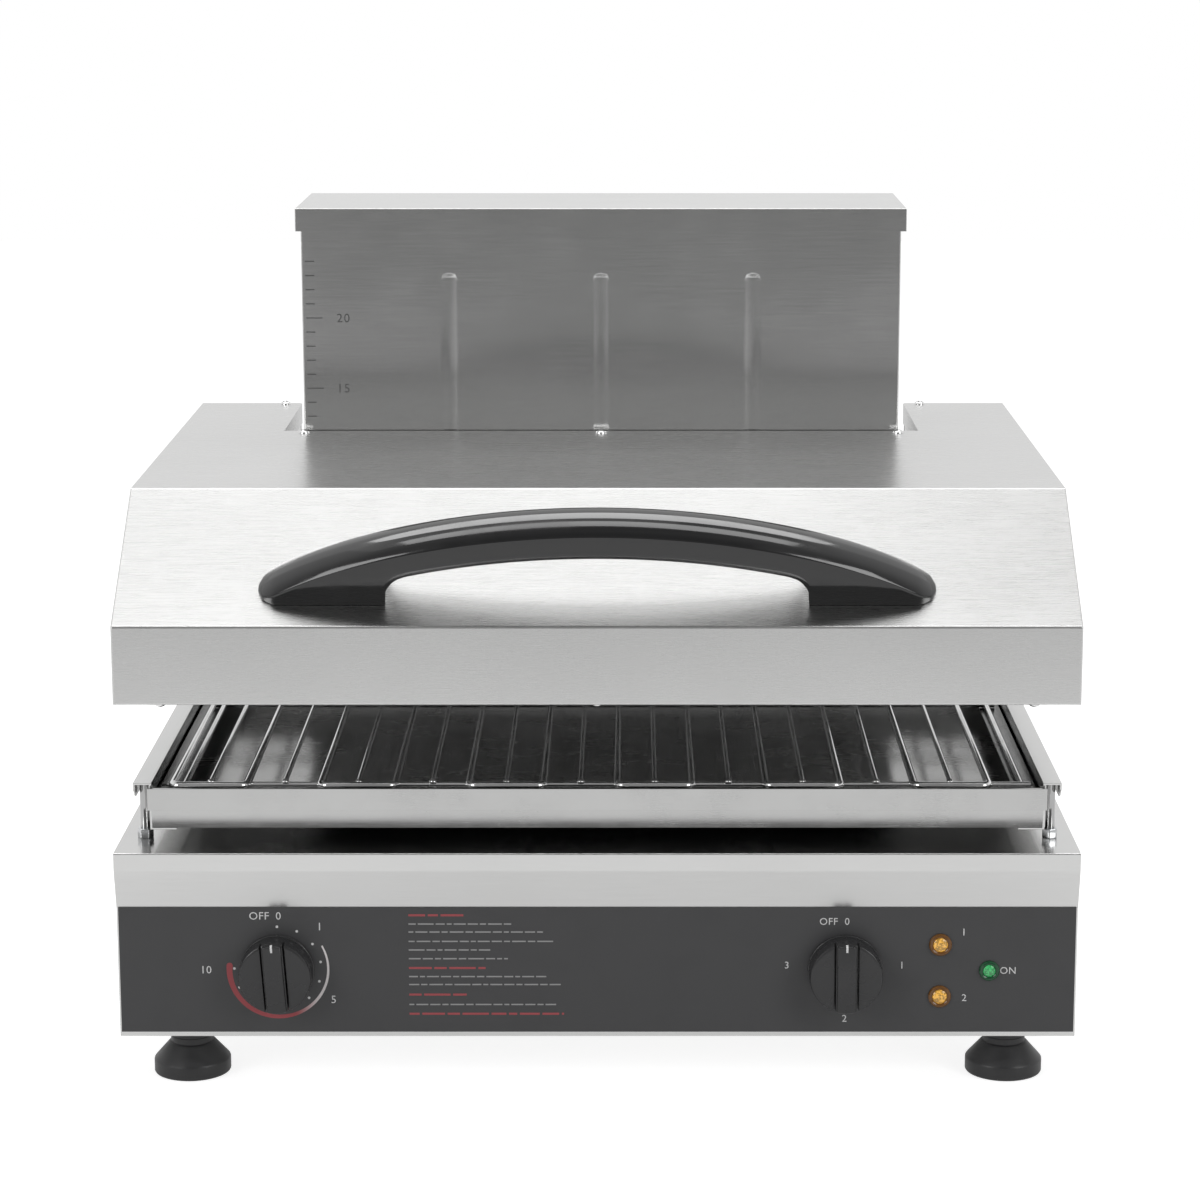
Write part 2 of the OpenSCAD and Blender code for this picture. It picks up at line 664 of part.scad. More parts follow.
module carriage_bushes() color("tan")
    for (x = [-rod_x, rod_x], z = [carriage_low, carriage_low + carriage_h - bush_l])
        difference() {
            along_z(bush_dia / 2, x, rod_y, z, z + bush_l);
            along_z(rod_dia / 2 + run_gap, x, rod_y, z - eps, z + bush_l + eps);
        }
module ear_bolts() color("gray")
    both_sides() for (y = ear_bolt_y) {
        along_x(3, notch_half + sheet - 2.5, notch_half + sheet + back_t + 0.1, y, ear_mid);
        along_x(5, notch_half + sheet + back_t, notch_half + sheet + back_t + 4, y, ear_mid);
    }

module counterweight() color("dimgray")
    block(-weight_half, weight_half, back_run_y - weight_t / 2, back_run_y + weight_t / 2,
        weight_low, weight_top);
module weight_eyes() color("gray")
    for (s = [-1, 1]) along_z(5, s * pulley_x, back_run_y, weight_top, weight_top + eye_h);
module weight_guides() color("silver") {
    y0 = back_run_y - weight_t / 2 - 1.5;
    y1 = tower_rear - sheet;
    both_sides() {
        block(guide_half, guide_half + 2, y0 - 1.5, y1, foot_h + sheet, pulley_z - 40);
        block(guide_half - 10, guide_half + 2, y0 - 1.5, y0, foot_h + sheet, pulley_z - 40);
        block(guide_half - 10, guide_half + 2, y1 - 1.5, y1, foot_h + sheet, pulley_z - 40);
    }
}

// ---- hood ----
// side outline of the hood, drawn in by t, down to the height low
function hood_outline(t, low) = [
    [hood_y + t, low],
    [hood_y + t, bend_z - t * (1 - sin(slope_a)) / cos(slope_a)],
    [slope_y + t * (1 - cos(slope_a)) / sin(slope_a), hood_top - t],
    [hood_rear - t, hood_top - t],
    [hood_rear - t, low]];
module hood_shell() color("gainsboro") difference() {
    section(hood_outline(0, lip_z), -half_w, half_w);
    difference() {
        section(hood_outline(sheet, lip_z + sheet), -half_w + sheet, half_w - sheet);
        block(-notch_half - sheet, notch_half + sheet, notch_y - sheet, hood_rear,
            hood_top - notch_flange, hood_top);
    }
    block(-half_w + lip_w, half_w - lip_w, hood_y + lip_w, notch_y - lip_w, lip_z - eps, lip_z + 2 * sheet);
    block(-notch_half, notch_half, notch_y, hood_rear + eps, lip_z - eps, hood_top + eps);
    block(-notch_half - eps, notch_half + eps, hood_rear - sheet - eps, hood_rear + eps,
        lip_z - eps, hood_top + eps);
    for (p = hood_screw_places)
        along_z(hole_r, p[0], p[1], hood_top - 2 * sheet, hood_top + eps);
    for (x = [-lip_screw_x, 0, lip_screw_x])
        along_z(hole_r, x, lip_screw_y, lip_z - eps, lip_z + sheet + eps);
}
hood_screw_places = [[-hood_screw_x, hood_screw_y], [0, hood_screw_y], [hood_screw_x, hood_screw_y],
    [-rear_screw_x, rear_screw_y], [rear_screw_x, rear_screw_y]];
module hood_screws() color("whitesmoke")
    for (p = hood_screw_places) dome_screw(p[0], p[1], hood_top, 7);
module lip_screws() color("whitesmoke")
    for (x = [-lip_screw_x, 0, lip_screw_x])
        translate([x, lip_screw_y, lip_z]) rotate([180, 0, 0]) dome_screw(0, 0, 0, 4);

module hood_back() color("silver") difference() {
    inner = notch_half + sheet;
    top = hood_top - sheet;
    union() {
        block(-inner - back_t, inner + back_t, notch_y - sheet - back_t, notch_y - sheet,
            lip_z + sheet, top);
        block(-hood_screw_x - 8, hood_screw_x + 8, hood_screw_y - 8, notch_y - sheet, top - back_t, top);
        both_sides() {
            block(inner, inner + back_t, notch_y - sheet - back_t, hood_rear - sheet, lip_z + sheet, top);
            block(inner, inner + 20, rear_screw_y - 12, hood_rear - sheet, top - back_t, top);
        }
    }
    for (p = hood_screw_places)
        along_z(hole_r, p[0], p[1], hood_top - 10, hood_top + eps);
    both_sides() ear_bolt_holes();
}

// side outline of the liner, drawn in by t
function liner_outline(t) = [
    [liner_y + t, lip_z + sheet - (t > 0 ? eps : 0)],
    [liner_y + t, bend_z - (liner_gap + t) / cos(slope_a) + (liner_y + t - hood_y) * tan(slope_a)],
    [hood_y + (ceiling_z - t - bend_z + (liner_gap + t) / cos(slope_a)) / tan(slope_a), ceiling_z - t],
    [liner_rear - t, ceiling_z - t],
    [liner_rear - t, lip_z + sheet - (t > 0 ? eps : 0)]];
liner_t = 1;
module hood_liner() color("silver") difference() {
    union() {
        section(liner_outline(0), -liner_half, liner_half);
        block(-liner_half - 8, liner_half + 8, liner_y - 8, liner_rear + 8,
            lip_z + sheet, lip_z + sheet + liner_t);
    }
    section(liner_outline(liner_t), -liner_half + liner_t, liner_half - liner_t);
    for (p = stub_places)
        along_z(tube_dia / 2 + 0.2, p[0], p[1], ceiling_z - 2, ceiling_z + eps);
    for (x = [-lip_screw_x, 0, lip_screw_x])
        along_z(hole_r, x, lip_screw_y, lip_z, lip_z + sheet + 2 * liner_t);
}
module hood_insulation() color("khaki")
    block(-liner_half + 2, liner_half - 2, slope_y + 14, tube_end - tube_dia,
        ceiling_z, ceiling_z + felt_t);

// legs of a heating tube, joined by round bends
function leg_x(s, i) = s * (tube_in + i * tube_pitch);
stub_places = [for (s = [-1, 1], i = [0, legs - 1]) [leg_x(s, i), tube_end + stub_r]];
module element(s) {
    r = tube_dia / 2;
    bend = tube_pitch / 2;
    last = legs - 1;
    for (i = [0:last])
        along_y(r, leg_x(s, i), tube_front, (i == 0 || i == last) ? tube_end : tube_back, tube_z);
    for (i = [0:2:last - 1])
        translate([(leg_x(s, i) + leg_x(s, i + 1)) / 2, tube_front, tube_z]) rotate([0, 0, 180])
            rotate_extrude(angle = 180) translate([bend, 0]) circle(r = r);
    for (i = [1:2:last - 1])
        translate([(leg_x(s, i) + leg_x(s, i + 1)) / 2, tube_back, tube_z])
            rotate_extrude(angle = 180) translate([bend, 0]) circle(r = r);
    // ends turn up through the ceiling of the liner
    for (i = [0, last]) {
        translate([leg_x(s, i), tube_end, tube_z + stub_r]) rotate([90, 0, 90])
            rotate([0, 0, -90]) rotate_extrude(angle = 90) translate([stub_r, 0]) circle(r = r);
        along_z(r, leg_x(s, i), tube_end + stub_r, tube_z + stub_r, stub_top);
    }
}
module element_left() color("dimgray") element(-1);
module element_right() color("dimgray") element(1);
bracket_y = [tube_front + tube_run / 10, tube_back - tube_run / 15];
module element_brackets() color("silver")
    for (y = bracket_y) difference() {
        block(-liner_half + 8, liner_half - 8, y, y + 2, tube_z - tube_dia, ceiling_z - liner_t);
        for (s = [-1, 1], i = [0:legs - 1])
            along_y(tube_dia / 2 + 0.2, leg_x(s, i), y - eps, y + 3, tube_z);
    }
module element_nuts() color("gray")
    for (p = stub_places)
        hex_nut(p[0], p[1], ceiling_z, 1.75 * tube_dia, tube_dia / 2 + 0.1, 5);
cutout_r = 8;
cutout_y = liner_rear - 3 * cutout_r;
module heat_cutout() color("tan") {
    along_z(cutout_r, 0, cutout_y, ceiling_z, ceiling_z + 10);
    block(-1.5 * cutout_r, 1.5 * cutout_r, cutout_y - 2, cutout_y + 2, ceiling_z, ceiling_z + 2);
}

// ---- handle ----
handle_mid = handle_up + handle_w / 2;
// lays its children on the sloped front: X stays, Y runs up the slope, Z stands out of it
module on_slope() translate([0, hood_y, bend_z]) rotate([slope_a, 0, 0]) children();
half_l = handle_l / 2;
function bow(x) = handle_out * pow(max(0, 1 - pow(x / half_l, 2)), 0.8);
// width of the handle, which rounds off towards its tips
function bow_w(x) = handle_w * pow(max(0, 1 - pow(abs(x) / (half_l + 2), 16)), 0.5);
foot_start = half_l - handle_foot;
// inner height of the bow: its feet stand on the hood
function bow_in(x) = abs(x) > foot_start ? 0 : max(0, bow(x) - handle_t);
// stations along the handle: closer at the tips, and a step at the feet
bow_xs = concat(
    [for (i = [0:9]) -half_l + 1.5 + (half_l - 1.5 - foot_start) * pow(i / 10, 1.6)],
    [-foot_start - 0.01],
    [for (i = [0:32]) -foot_start + 2 * foot_start * i / 32],
    [foot_start + 0.01],
    [for (i = [9:-1:0]) half_l - 1.5 - (half_l - 1.5 - foot_start) * pow(i / 10, 1.6)]);
crown = 5;               // how far the edges of the bow's face lie below its middle
bow_steps = 10;
function bow_ring(x) =
    let (w = bow_w(x) / 2, top = max(bow(x), 1.5), low = bow_in(x), c = min(crown, top - low - 1))
    concat(
        [[x, -w, low]],
        [for (i = [0:bow_steps]) let (u = -1 + 2 * i / bow_steps) [x, w * u, top - c * u * u]],
        [[x, w, low]]);
module hood_handle() color("black") on_slope() translate([0, handle_mid, 0]) {
    n = bow_steps + 3;
    m = len(bow_xs);
    polyhedron(
        points = [for (x = bow_xs) each bow_ring(x)],
        faces = concat(
            [[for (i = [0:n - 1]) i]],
            [[for (i = [n - 1:-1:0]) (m - 1) * n + i]],
            [for (k = [0:m - 2], i = [0:n - 1]) let (a = k * n + i, b = k * n + (i + 1) % n)
                [a, a + n, b]],
            [for (k = [0:m - 2], i = [0:n - 1]) let (a = k * n + i, b = k * n + (i + 1) % n)
                [b, a + n, b + n]]));
}
bolt_x = half_l - handle_foot / 2;
module handle_bolts() color("gray") on_slope()
    for (s = [-1, 1]) translate([s * bolt_x, handle_mid, -sheet]) {
        translate([0, 0, -4]) cylinder(r = 5, h = 4);
    }

// ---- drawing list ----
base_tray();
base_casing();
top_plate();
panel_plate();
panel_overlay();
lamp_lens_upper();
lamp_lens_lower();
lamp_lens_on();
lamp_bodies();
timer_body();
selector_body();
terminal_block();
cable_gland();
foot_nuts();
rack_posts();
post_nuts();
pan_carrier();
tower_shell();
tower_back();
tower_cap();
tower_screws();
rod_foot_bracket();
rod_head_bracket();
guide_rod_left();
guide_rod_right();
pulley_axles();
cable_wraps();
weight_guides();
hood_shell();
hood_back();
hood_liner();
hood_insulation();
element_left();
element_right();
element_brackets();
element_nuts();
heat_cutout();
hood_handle();
handle_bolts();
hood_screws();
lip_screws();
carriage();
carriage_bushes();
ear_bolts();
cable_front_runs();
counterweight();
weight_eyes();
cable_rear_runs();
pulley_left();
pulley_right();
timer_knob();
timer_spindle();
selector_knob();
selector_spindle();
drip_pan();
wire_rack();
foot_front_left();
foot_front_right();
foot_rear_left();
foot_rear_right();
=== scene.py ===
import json
import math

import bmesh
import bpy
from bpy.props import FloatProperty, FloatVectorProperty, IntProperty, PointerProperty
from mathutils import Matrix, Vector

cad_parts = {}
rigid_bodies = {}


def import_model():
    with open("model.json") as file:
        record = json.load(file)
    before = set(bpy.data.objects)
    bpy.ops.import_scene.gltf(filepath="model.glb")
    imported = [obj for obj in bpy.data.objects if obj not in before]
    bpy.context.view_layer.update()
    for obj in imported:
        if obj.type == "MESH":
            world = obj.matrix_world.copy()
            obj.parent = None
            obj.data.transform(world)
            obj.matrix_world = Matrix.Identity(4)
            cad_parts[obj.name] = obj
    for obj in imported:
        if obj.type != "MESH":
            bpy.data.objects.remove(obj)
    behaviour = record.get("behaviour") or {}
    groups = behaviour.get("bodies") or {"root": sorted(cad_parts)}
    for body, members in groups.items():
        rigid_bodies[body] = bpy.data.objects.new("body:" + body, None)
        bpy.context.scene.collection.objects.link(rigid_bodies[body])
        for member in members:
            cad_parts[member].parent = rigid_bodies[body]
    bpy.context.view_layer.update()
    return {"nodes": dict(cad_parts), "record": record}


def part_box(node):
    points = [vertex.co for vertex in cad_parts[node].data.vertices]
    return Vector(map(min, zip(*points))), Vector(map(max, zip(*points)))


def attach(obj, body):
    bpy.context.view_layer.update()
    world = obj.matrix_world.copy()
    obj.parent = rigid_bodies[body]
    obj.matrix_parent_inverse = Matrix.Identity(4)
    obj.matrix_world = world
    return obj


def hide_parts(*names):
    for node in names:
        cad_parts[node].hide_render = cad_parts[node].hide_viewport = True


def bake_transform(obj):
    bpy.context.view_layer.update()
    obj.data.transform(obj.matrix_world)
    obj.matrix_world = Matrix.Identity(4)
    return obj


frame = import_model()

bl_info = {
    "name": "Lifting grill",
    "version": (1, 0, 0),
    "blender": (4, 5, 0),
    "location": "3D View > Sidebar > Grill",
    "description": "Dresses the packed model of a counter grill with a lifting hood",
    "category": "Mesh",
}

MM = 0.001
NODES = frame["nodes"]
SLOT_OF = {p["node"]: p["material_slot"] for p in frame["record"]["subparts"]}


def low_high(node):
    """The lowest and highest corner of a CAD node, in millimetres."""
    low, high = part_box(node)
    return low / MM, high / MM


# places that the CAD gives, in millimetres
HALF_W = low_high("hood_shell")[1].x
HOOD_Y = low_high("hood_shell")[0].y
HOOD_REAR = low_high("hood_shell")[1].y
HOOD_TOP = low_high("hood_shell")[1].z
LIP_Z = low_high("hood_shell")[0].z
TOWER_X = low_high("tower_shell")[1].x
TOWER_Y = low_high("tower_shell")[0].y
TOWER_REAR = low_high("tower_back")[1].y
FILM_Y = low_high("panel_overlay")[0].y
FILM_LOW = low_high("panel_overlay")[0].z
FILM_TOP = low_high("panel_overlay")[1].z
TOWER_TOP_GROOVE = 473.0  # upper end of the grooves in the tower
BAND_H = 49.5           # front band of the hood, from its lip to the bend
SLOPE_Y = -120.0        # where the slope meets the top of the hood
BEND_Z = LIP_Z + BAND_H
SLOPE_A = math.atan2(HOOD_TOP - BEND_Z, SLOPE_Y - HOOD_Y)


def knob_place(node):
    low, high = low_high(node)
    return Vector(((low.x + high.x) / 2, FILM_Y, (low.z + high.z) / 2))


# ---- settings -------------------------------------------------------------

def size(name, text, value, low=0.1, high=500.0):
    return FloatProperty(name=name, description=text, default=value, min=low, max=high)


def tint(name, text, value):
    return FloatVectorProperty(
        name=name, description=text, default=value, size=3, min=0, max=1, subtype="COLOR")


class SheetSettings(bpy.types.PropertyGroup):
    fold: size("Fold radius", "Outside radius of the folds, in millimetres", 1.1, 0.2, 4)
    edge: size("Edge radius", "Rounding of cut sheet edges, in millimetres", 0.12, 0.05, 0.5)
    steel: tint("Steel", "Colour of the brushed stainless sheet", (0.66, 0.66, 0.655))
    grain: size("Grain", "Streaks of the brushing for each metre", 3000, 100, 6000)


class HandleSettings(bpy.types.PropertyGroup):
    length: size("Length", "Length of the handle over its tips, in millimetres", 424, 300, 500)
    reach: size("Reach", "How far the bow stands out, in millimetres", 62, 40, 80)
    thick: size("Thickness", "Thickness of the bow, in millimetres", 21, 10, 24)
    width: size("Width", "Width of the bow, in millimetres", 28, 18, 36)
    foot: size("Foot", "Length of each foot, in millimetres", 81, 50, 110)
    mid: size("Middle", "Height of the handle on the slope, in millimetres", 32, 20, 50)
    colour: tint("Colour", "Colour of the glossy plastic", (0.006, 0.006, 0.0065))


class ControlSettings(bpy.types.PropertyGroup):
    knob: size("Knob", "Diameter of a knob, in millimetres", 47, 30, 60)
    reach: size("Knob height", "How far a knob stands out, in millimetres", 20.4, 10, 25)
    grip: size("Grip", "Width of the grip bar, in millimetres", 13, 8, 18)
    land: size("Lands", "Height of the lands beside the grip, in millimetres", 17.5, 12, 19)
    turn: FloatProperty(
        name="Timer turn", description="How far the timer knob is turned at rest",
        default=math.radians(-4), unit="ROTATION")
    amber: tint("Amber lens", "Colour of the two heat lenses", (0.78, 0.42, 0.07))
    green: tint("Green lens", "Colour of the power lens", (0.05, 0.42, 0.13))
    white: tint("White ink", "Colour of the white print", (0.78, 0.78, 0.78))
    red: tint("Red ink", "Colour of the red print", (0.40, 0.075, 0.085))


class RackSettings(bpy.types.PropertyGroup):
    bars: IntProperty(name="Bars", description="Number of bars", default=23, min=5, max=41)
    bar: size("Bar wire", "Diameter of the bars, in millimetres", 3.5, 2, 6)
    side: size("Frame wire", "Diameter of the frame wires, in millimetres", 4, 2, 8)
    pitch: size("Pitch", "Distance between two bars, in millimetres", 23.3, 10, 40)
    bend: size("Bend", "Radius of the bends, in millimetres", 5, 3, 10)


class StageSettings(bpy.types.PropertyGroup):
    lens: size("Lens", "Focal length of the camera, in millimetres", 100.95, 20, 300)
    floor: tint("Floor", "Colour of the floor", (0.45, 0.45, 0.45))


SETTINGS = {
    "grill_sheet": SheetSettings, "grill_handle": HandleSettings,
    "grill_control": ControlSettings, "grill_rack": RackSettings, "grill_stage": StageSettings,
}


# ---- shaping by hand ------------------------------------------------------

def only(*objs):
    """Selects these objects and nothing else, in object mode."""
    if bpy.context.object and bpy.context.object.mode != "OBJECT":
        bpy.ops.object.mode_set(mode="OBJECT")
    for o in list(bpy.context.selected_objects):
        o.select_set(False)
    for o in objs:
        o.select_set(True)
    bpy.context.view_layer.objects.active = objs[0] if objs else None


def edit(obj, kind="VERT"):
    only(obj)
    bpy.ops.object.mode_set(mode="EDIT")
    bpy.ops.mesh.select_mode(type=kind)


def leave():
    bpy.ops.object.mode_set(mode="OBJECT")


def middle(part):
    if isinstance(part, bmesh.types.BMVert):
        return part.co / MM
    if isinstance(part, bmesh.types.BMEdge):
        return (part.verts[0].co + part.verts[1].co) / 2 / MM
    return part.calc_center_median() / MM


def pick(obj, kind, test):
    """In edit mode, selects the verts, edges or faces whose place passes the test."""
    bpy.ops.mesh.select_mode(type=kind)
    mesh = bmesh.from_edit_mesh(obj.data)
    parts = {"VERT": mesh.verts, "EDGE": mesh.edges, "FACE": mesh.faces}[kind]
    for seq in (mesh.verts, mesh.edges, mesh.faces):
        for part in seq:
            part.select = False
    count = 0
    for part in parts:
        if test(middle(part), part):
            part.select_set(True)
            count += 1
    bmesh.update_edit_mesh(obj.data)
    return count


def apply_modifier(obj, kind, **values):
    only(obj)
    mod = obj.modifiers.new(kind.title(), kind)
    for key, value in values.items():
        setattr(mod, key, value)
    bpy.ops.object.modifier_apply(modifier=mod.name)


def soften(obj, width, segments=2, angle=35):
    """Rounds every sharp edge."""
    apply_modifier(obj, "BEVEL", width=width * MM, segments=segments, limit_method="ANGLE",
                   angle_limit=math.radians(angle), use_clamp_overlap=True,
                   miter_outer="MITER_ARC")


def fixed(obj):
    """Puts the place, turn and size of an object into its mesh."""
    only(obj)
    bpy.ops.object.transform_apply(location=True, rotation=True, scale=True)
    return obj


def outwards(obj):
    edit(obj)
    bpy.ops.mesh.select_all(action="SELECT")
    bpy.ops.mesh.remove_doubles(threshold=1e-6)
    bpy.ops.mesh.normals_make_consistent(inside=False)
    leave()


def copy_at(obj, matrix):
    """A copy with its own mesh, set down by a matrix."""
    new = bpy.data.objects.new(obj.name, obj.data.copy())
    bpy.context.scene.collection.objects.link(new)
    new.data.transform(matrix)
    return new


def joined(objs):
    only(*objs)
    if len(objs) > 1:
        bpy.ops.object.join()
    return bpy.context.object


def drop(*objs):
    for o in objs:
        bpy.data.objects.remove(o)


def piece(obj, name, body, slot, material, *nodes, angle=32, weighted=False):
    """Finishes a piece: its name, shading, finish, body and the CAD nodes it stands for.

    A piece without a body is attached to none."""
    fixed(obj)
    bpy.ops.object.shade_smooth_by_angle(angle=math.radians(angle))
    if weighted:
        apply_modifier(obj, "WEIGHTED_NORMAL", keep_sharp=True, weight=80)
    obj.name = obj.data.name = name
    obj.data.materials.clear()
    obj.data.materials.append(material)
    if body:
        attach(obj, body)
    if nodes:
        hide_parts(*nodes)
    return obj


def from_node(node, flat=0.6):
    """A copy of a CAD node's mesh, merged, with its flat areas joined."""
    obj = bpy.data.objects.new(node + ".copy", NODES[node].data.copy())
    bpy.context.scene.collection.objects.link(obj)
    edit(obj)
    bpy.ops.mesh.customdata_custom_splitnormals_clear()
    bpy.ops.mesh.select_all(action="SELECT")
    bpy.ops.mesh.remove_doubles(threshold=2e-6)
    bpy.ops.mesh.dissolve_limited(angle_limit=math.radians(flat))
    leave()
    return obj


def fold(obj, radius, test, segments=4):
    """Rounds the folds of a sheet: the edges that pass the test."""
    edit(obj, "EDGE")
    if not pick(obj, "EDGE", test):
        raise RuntimeError("no fold found on " + obj.name)
    bpy.ops.mesh.bevel(offset=radius * MM, segments=segments, profile=0.5, clamp_overlap=False)
    leave()


def turned(profile, sides=48, closed=False):
    """A turned shape about Z, from (radius, height) pairs in millimetres, with flat ends."""
    if not closed:
        (r, h), (r2, h2) = profile[0], profile[-1]
        profile = [(r * 0.1, h), *profile, (r2 * 0.1, h2)]
    r, h = profile[0]
    bpy.ops.mesh.primitive_circle_add(
        vertices=sides, radius=r * MM, fill_type="NOTHING", location=(0, 0, h * MM))
    obj = fixed(bpy.context.object)
    edit(obj)
    bpy.ops.mesh.select_all(action="SELECT")
    for r2, h2 in profile[1:]:
        bpy.ops.mesh.extrude_edges_move(
            TRANSFORM_OT_translate={"value": (0, 0, (h2 - h) * MM)})
        bpy.ops.transform.resize(value=(r2 / r, r2 / r, 1), center_override=(0, 0, h2 * MM))
        r, h = r2, h2
    if not closed:
        bpy.ops.mesh.merge(type="CENTER")
        first = profile[0]
        pick(obj, "VERT", lambda c, v: abs(c.z - first[1]) < 1e-3
             and abs(math.hypot(c.x, c.y) - first[0]) < 1e-3)
        bpy.ops.mesh.merge(type="CENTER")
    leave()
    outwards(obj)
    return obj


def block(x0, x1, y0, y1, z0, z1):
    """A box between these places in millimetres, to be shaped further."""
    bpy.ops.mesh.primitive_cube_add(
        size=1, location=((x0 + x1) / 2 * MM, (y0 + y1) / 2 * MM, (z0 + z1) / 2 * MM),
        scale=((x1 - x0) * MM, (y1 - y0) * MM, (z1 - z0) * MM))
    return fixed(bpy.context.object)


def wire(points, radius, sides=3, stout=None):
    """A round wire through points in millimetres, with closed ends."""
    curve = bpy.data.curves.new("wire", "CURVE")
    curve.dimensions = "3D"
    curve.bevel_depth = radius * MM
    curve.bevel_resolution = sides
    curve.use_fill_caps = True
    line = curve.splines.new("POLY")
    line.points.add(len(points) - 1)
    for p, q in zip(line.points, points):
        p.co = (q[0] * MM, q[1] * MM, q[2] * MM, 1)
        p.radius = stout(q) if stout else 1.0
    obj = bpy.data.objects.new("wire", curve)
    bpy.context.scene.collection.objects.link(obj)
    only(obj)
    bpy.ops.object.convert(target="MESH")
    return bpy.context.object


def print_on(shapes, place):
    """Joins flat shapes drawn in X and Z, gives them the thickness of ink and sets them down."""
    obj = joined(shapes)
    apply_modifier(obj, "SOLIDIFY", thickness=0.05 * MM, offset=0)
    obj.data.transform(Matrix.Translation(Vector(place) * MM))
    return obj


def flat_bar(x0, x1, z0, z1):
    bpy.ops.mesh.primitive_plane_add(
        size=1, location=((x0 + x1) / 2 * MM, 0, (z0 + z1) / 2 * MM),
        rotation=(math.pi / 2, 0, 0))
    obj = bpy.context.object
    obj.scale = ((x1 - x0) * MM, (z1 - z0) * MM, 1)
    return fixed(obj)


def word(text, x, z, height, spread=1.06):
    """Letters or numbers as a flat mesh, centred on (x, z), in millimetres."""
    bpy.ops.object.text_add()
    obj = bpy.context.object
    obj.data.body = text
    obj.data.align_x = "CENTER"
    obj.data.space_character = spread
    obj.data.resolution_u = 3
    bpy.ops.object.convert(target="MESH")
    obj = bpy.context.object
    ys = [v.co.y for v in obj.data.vertices]
    xs = [v.co.x for v in obj.data.vertices]
    k = height * MM / (max(ys) - min(ys))
    back = Matrix.Translation((-(max(xs) + min(xs)) / 2, -(max(ys) + min(ys)) / 2, 0))
    obj.data.transform(
        Matrix.Translation((x * MM, 0, z * MM)) @ Matrix.Rotation(math.pi / 2, 4, "X")
        @ Matrix.Scale(k, 4) @ back)
    return obj


def dot(x, z, r, sides=16):
    bpy.ops.mesh.primitive_circle_add(
        vertices=sides, radius=r * MM, fill_type="NGON", location=(x * MM, 0, z * MM),
        rotation=(math.pi / 2, 0, 0))
    return fixed(bpy.context.object)


# ---- finishes -------------------------------------------------------------

def link(tree, out, to):
    tree.links.new(out, to)


def add(tree, kind, **values):
    """Adds a node; names that are sockets set the socket, the rest set the node."""
    node = tree.nodes.new(kind)
    for key, value in values.items():
        setattr(node, key, value)
    return node


def put(node, **sockets):
    for key, value in sockets.items():
        node.inputs[key.replace("_", " ")].default_value = value
    return node


def effect(name, inputs, outputs):
    """An empty node group with named float or vector inputs and float outputs."""
    tree = bpy.data.node_groups.new(name, "ShaderNodeTree")
    for label, kind, value in inputs:
        socket = tree.interface.new_socket(label, in_out="INPUT", socket_type=kind)
        if value is not None:
            socket.default_value = value
    for label in outputs:
        tree.interface.new_socket(label, in_out="OUTPUT", socket_type="NodeSocketFloat")
    return tree, add(tree, "NodeGroupInput"), add(tree, "NodeGroupOutput")


def noise(tree, vector, scale, detail=2.0, rough=0.5):
    node = put(add(tree, "ShaderNodeTexNoise"), Detail=detail, Roughness=rough)
    link(tree, vector, node.inputs["Vector"])
    if isinstance(scale, (int, float)):
        node.inputs["Scale"].default_value = scale
    else:
        link(tree, scale, node.inputs["Scale"])
    return node.outputs["Fac"]


def maths(tree, how, a, b=0.0, clamp=False):
    node = add(tree, "ShaderNodeMath", operation=how, use_clamp=clamp)
    for socket, value in zip(node.inputs, (a, b)):
        if isinstance(value, (int, float)):
            socket.default_value = value
        else:
            link(tree, value, socket)
    return node.outputs[0]


def ranged(tree, value, low, high, to_low=0.0, to_high=1.0):
    node = add(tree, "ShaderNodeMapRange", interpolation_type="SMOOTHSTEP")
    link(tree, value, node.inputs["Value"])
    put(node, From_Min=low, From_Max=high, To_Min=to_low, To_Max=to_high)
    return node.outputs["Result"]


def stretched(tree, vector, scale):
    node = add(tree, "ShaderNodeVectorMath", operation="MULTIPLY")
    link(tree, vector, node.inputs[0])
    if isinstance(scale, tuple):
        node.inputs[1].default_value = scale
    else:
        link(tree, scale, node.inputs[1])
    return node.outputs[0]


def brushed_grain():
    """Streaks along X, or along Y on the faces that look sideways."""
    name = "Brushed grain"
    if name in bpy.data.node_groups:
        return bpy.data.node_groups[name]
    tree, given, out = effect(
        name, [("Vector", "NodeSocketVector", None), ("Streaks", "NodeSocketFloat", 1500.0)],
        ["Grain", "Cloud", "Height"])
    face = add(tree, "ShaderNodeNewGeometry")
    part = add(tree, "ShaderNodeSeparateXYZ")
    link(tree, face.outputs["True Normal"], part.inputs[0])
    side = maths(tree, "GREATER_THAN", maths(tree, "ABSOLUTE", part.outputs["X"]), 0.8)
    lengthwise = stretched(tree, given.outputs["Vector"], (0.012, 1.0, 1.0))
    sideways = stretched(tree, given.outputs["Vector"], (1.0, 0.012, 1.0))
    choice = add(tree, "ShaderNodeMix", data_type="VECTOR")
    link(tree, side, choice.inputs["Factor"])
    link(tree, lengthwise, choice.inputs[4])
    link(tree, sideways, choice.inputs[5])
    grain = noise(tree, choice.outputs[1], given.outputs["Streaks"], 2.0, 0.6)
    link(tree, grain, out.inputs["Grain"])
    link(tree, grain, out.inputs["Height"])
    link(tree, noise(tree, given.outputs["Vector"], 9.0, 3.0), out.inputs["Cloud"])
    return tree


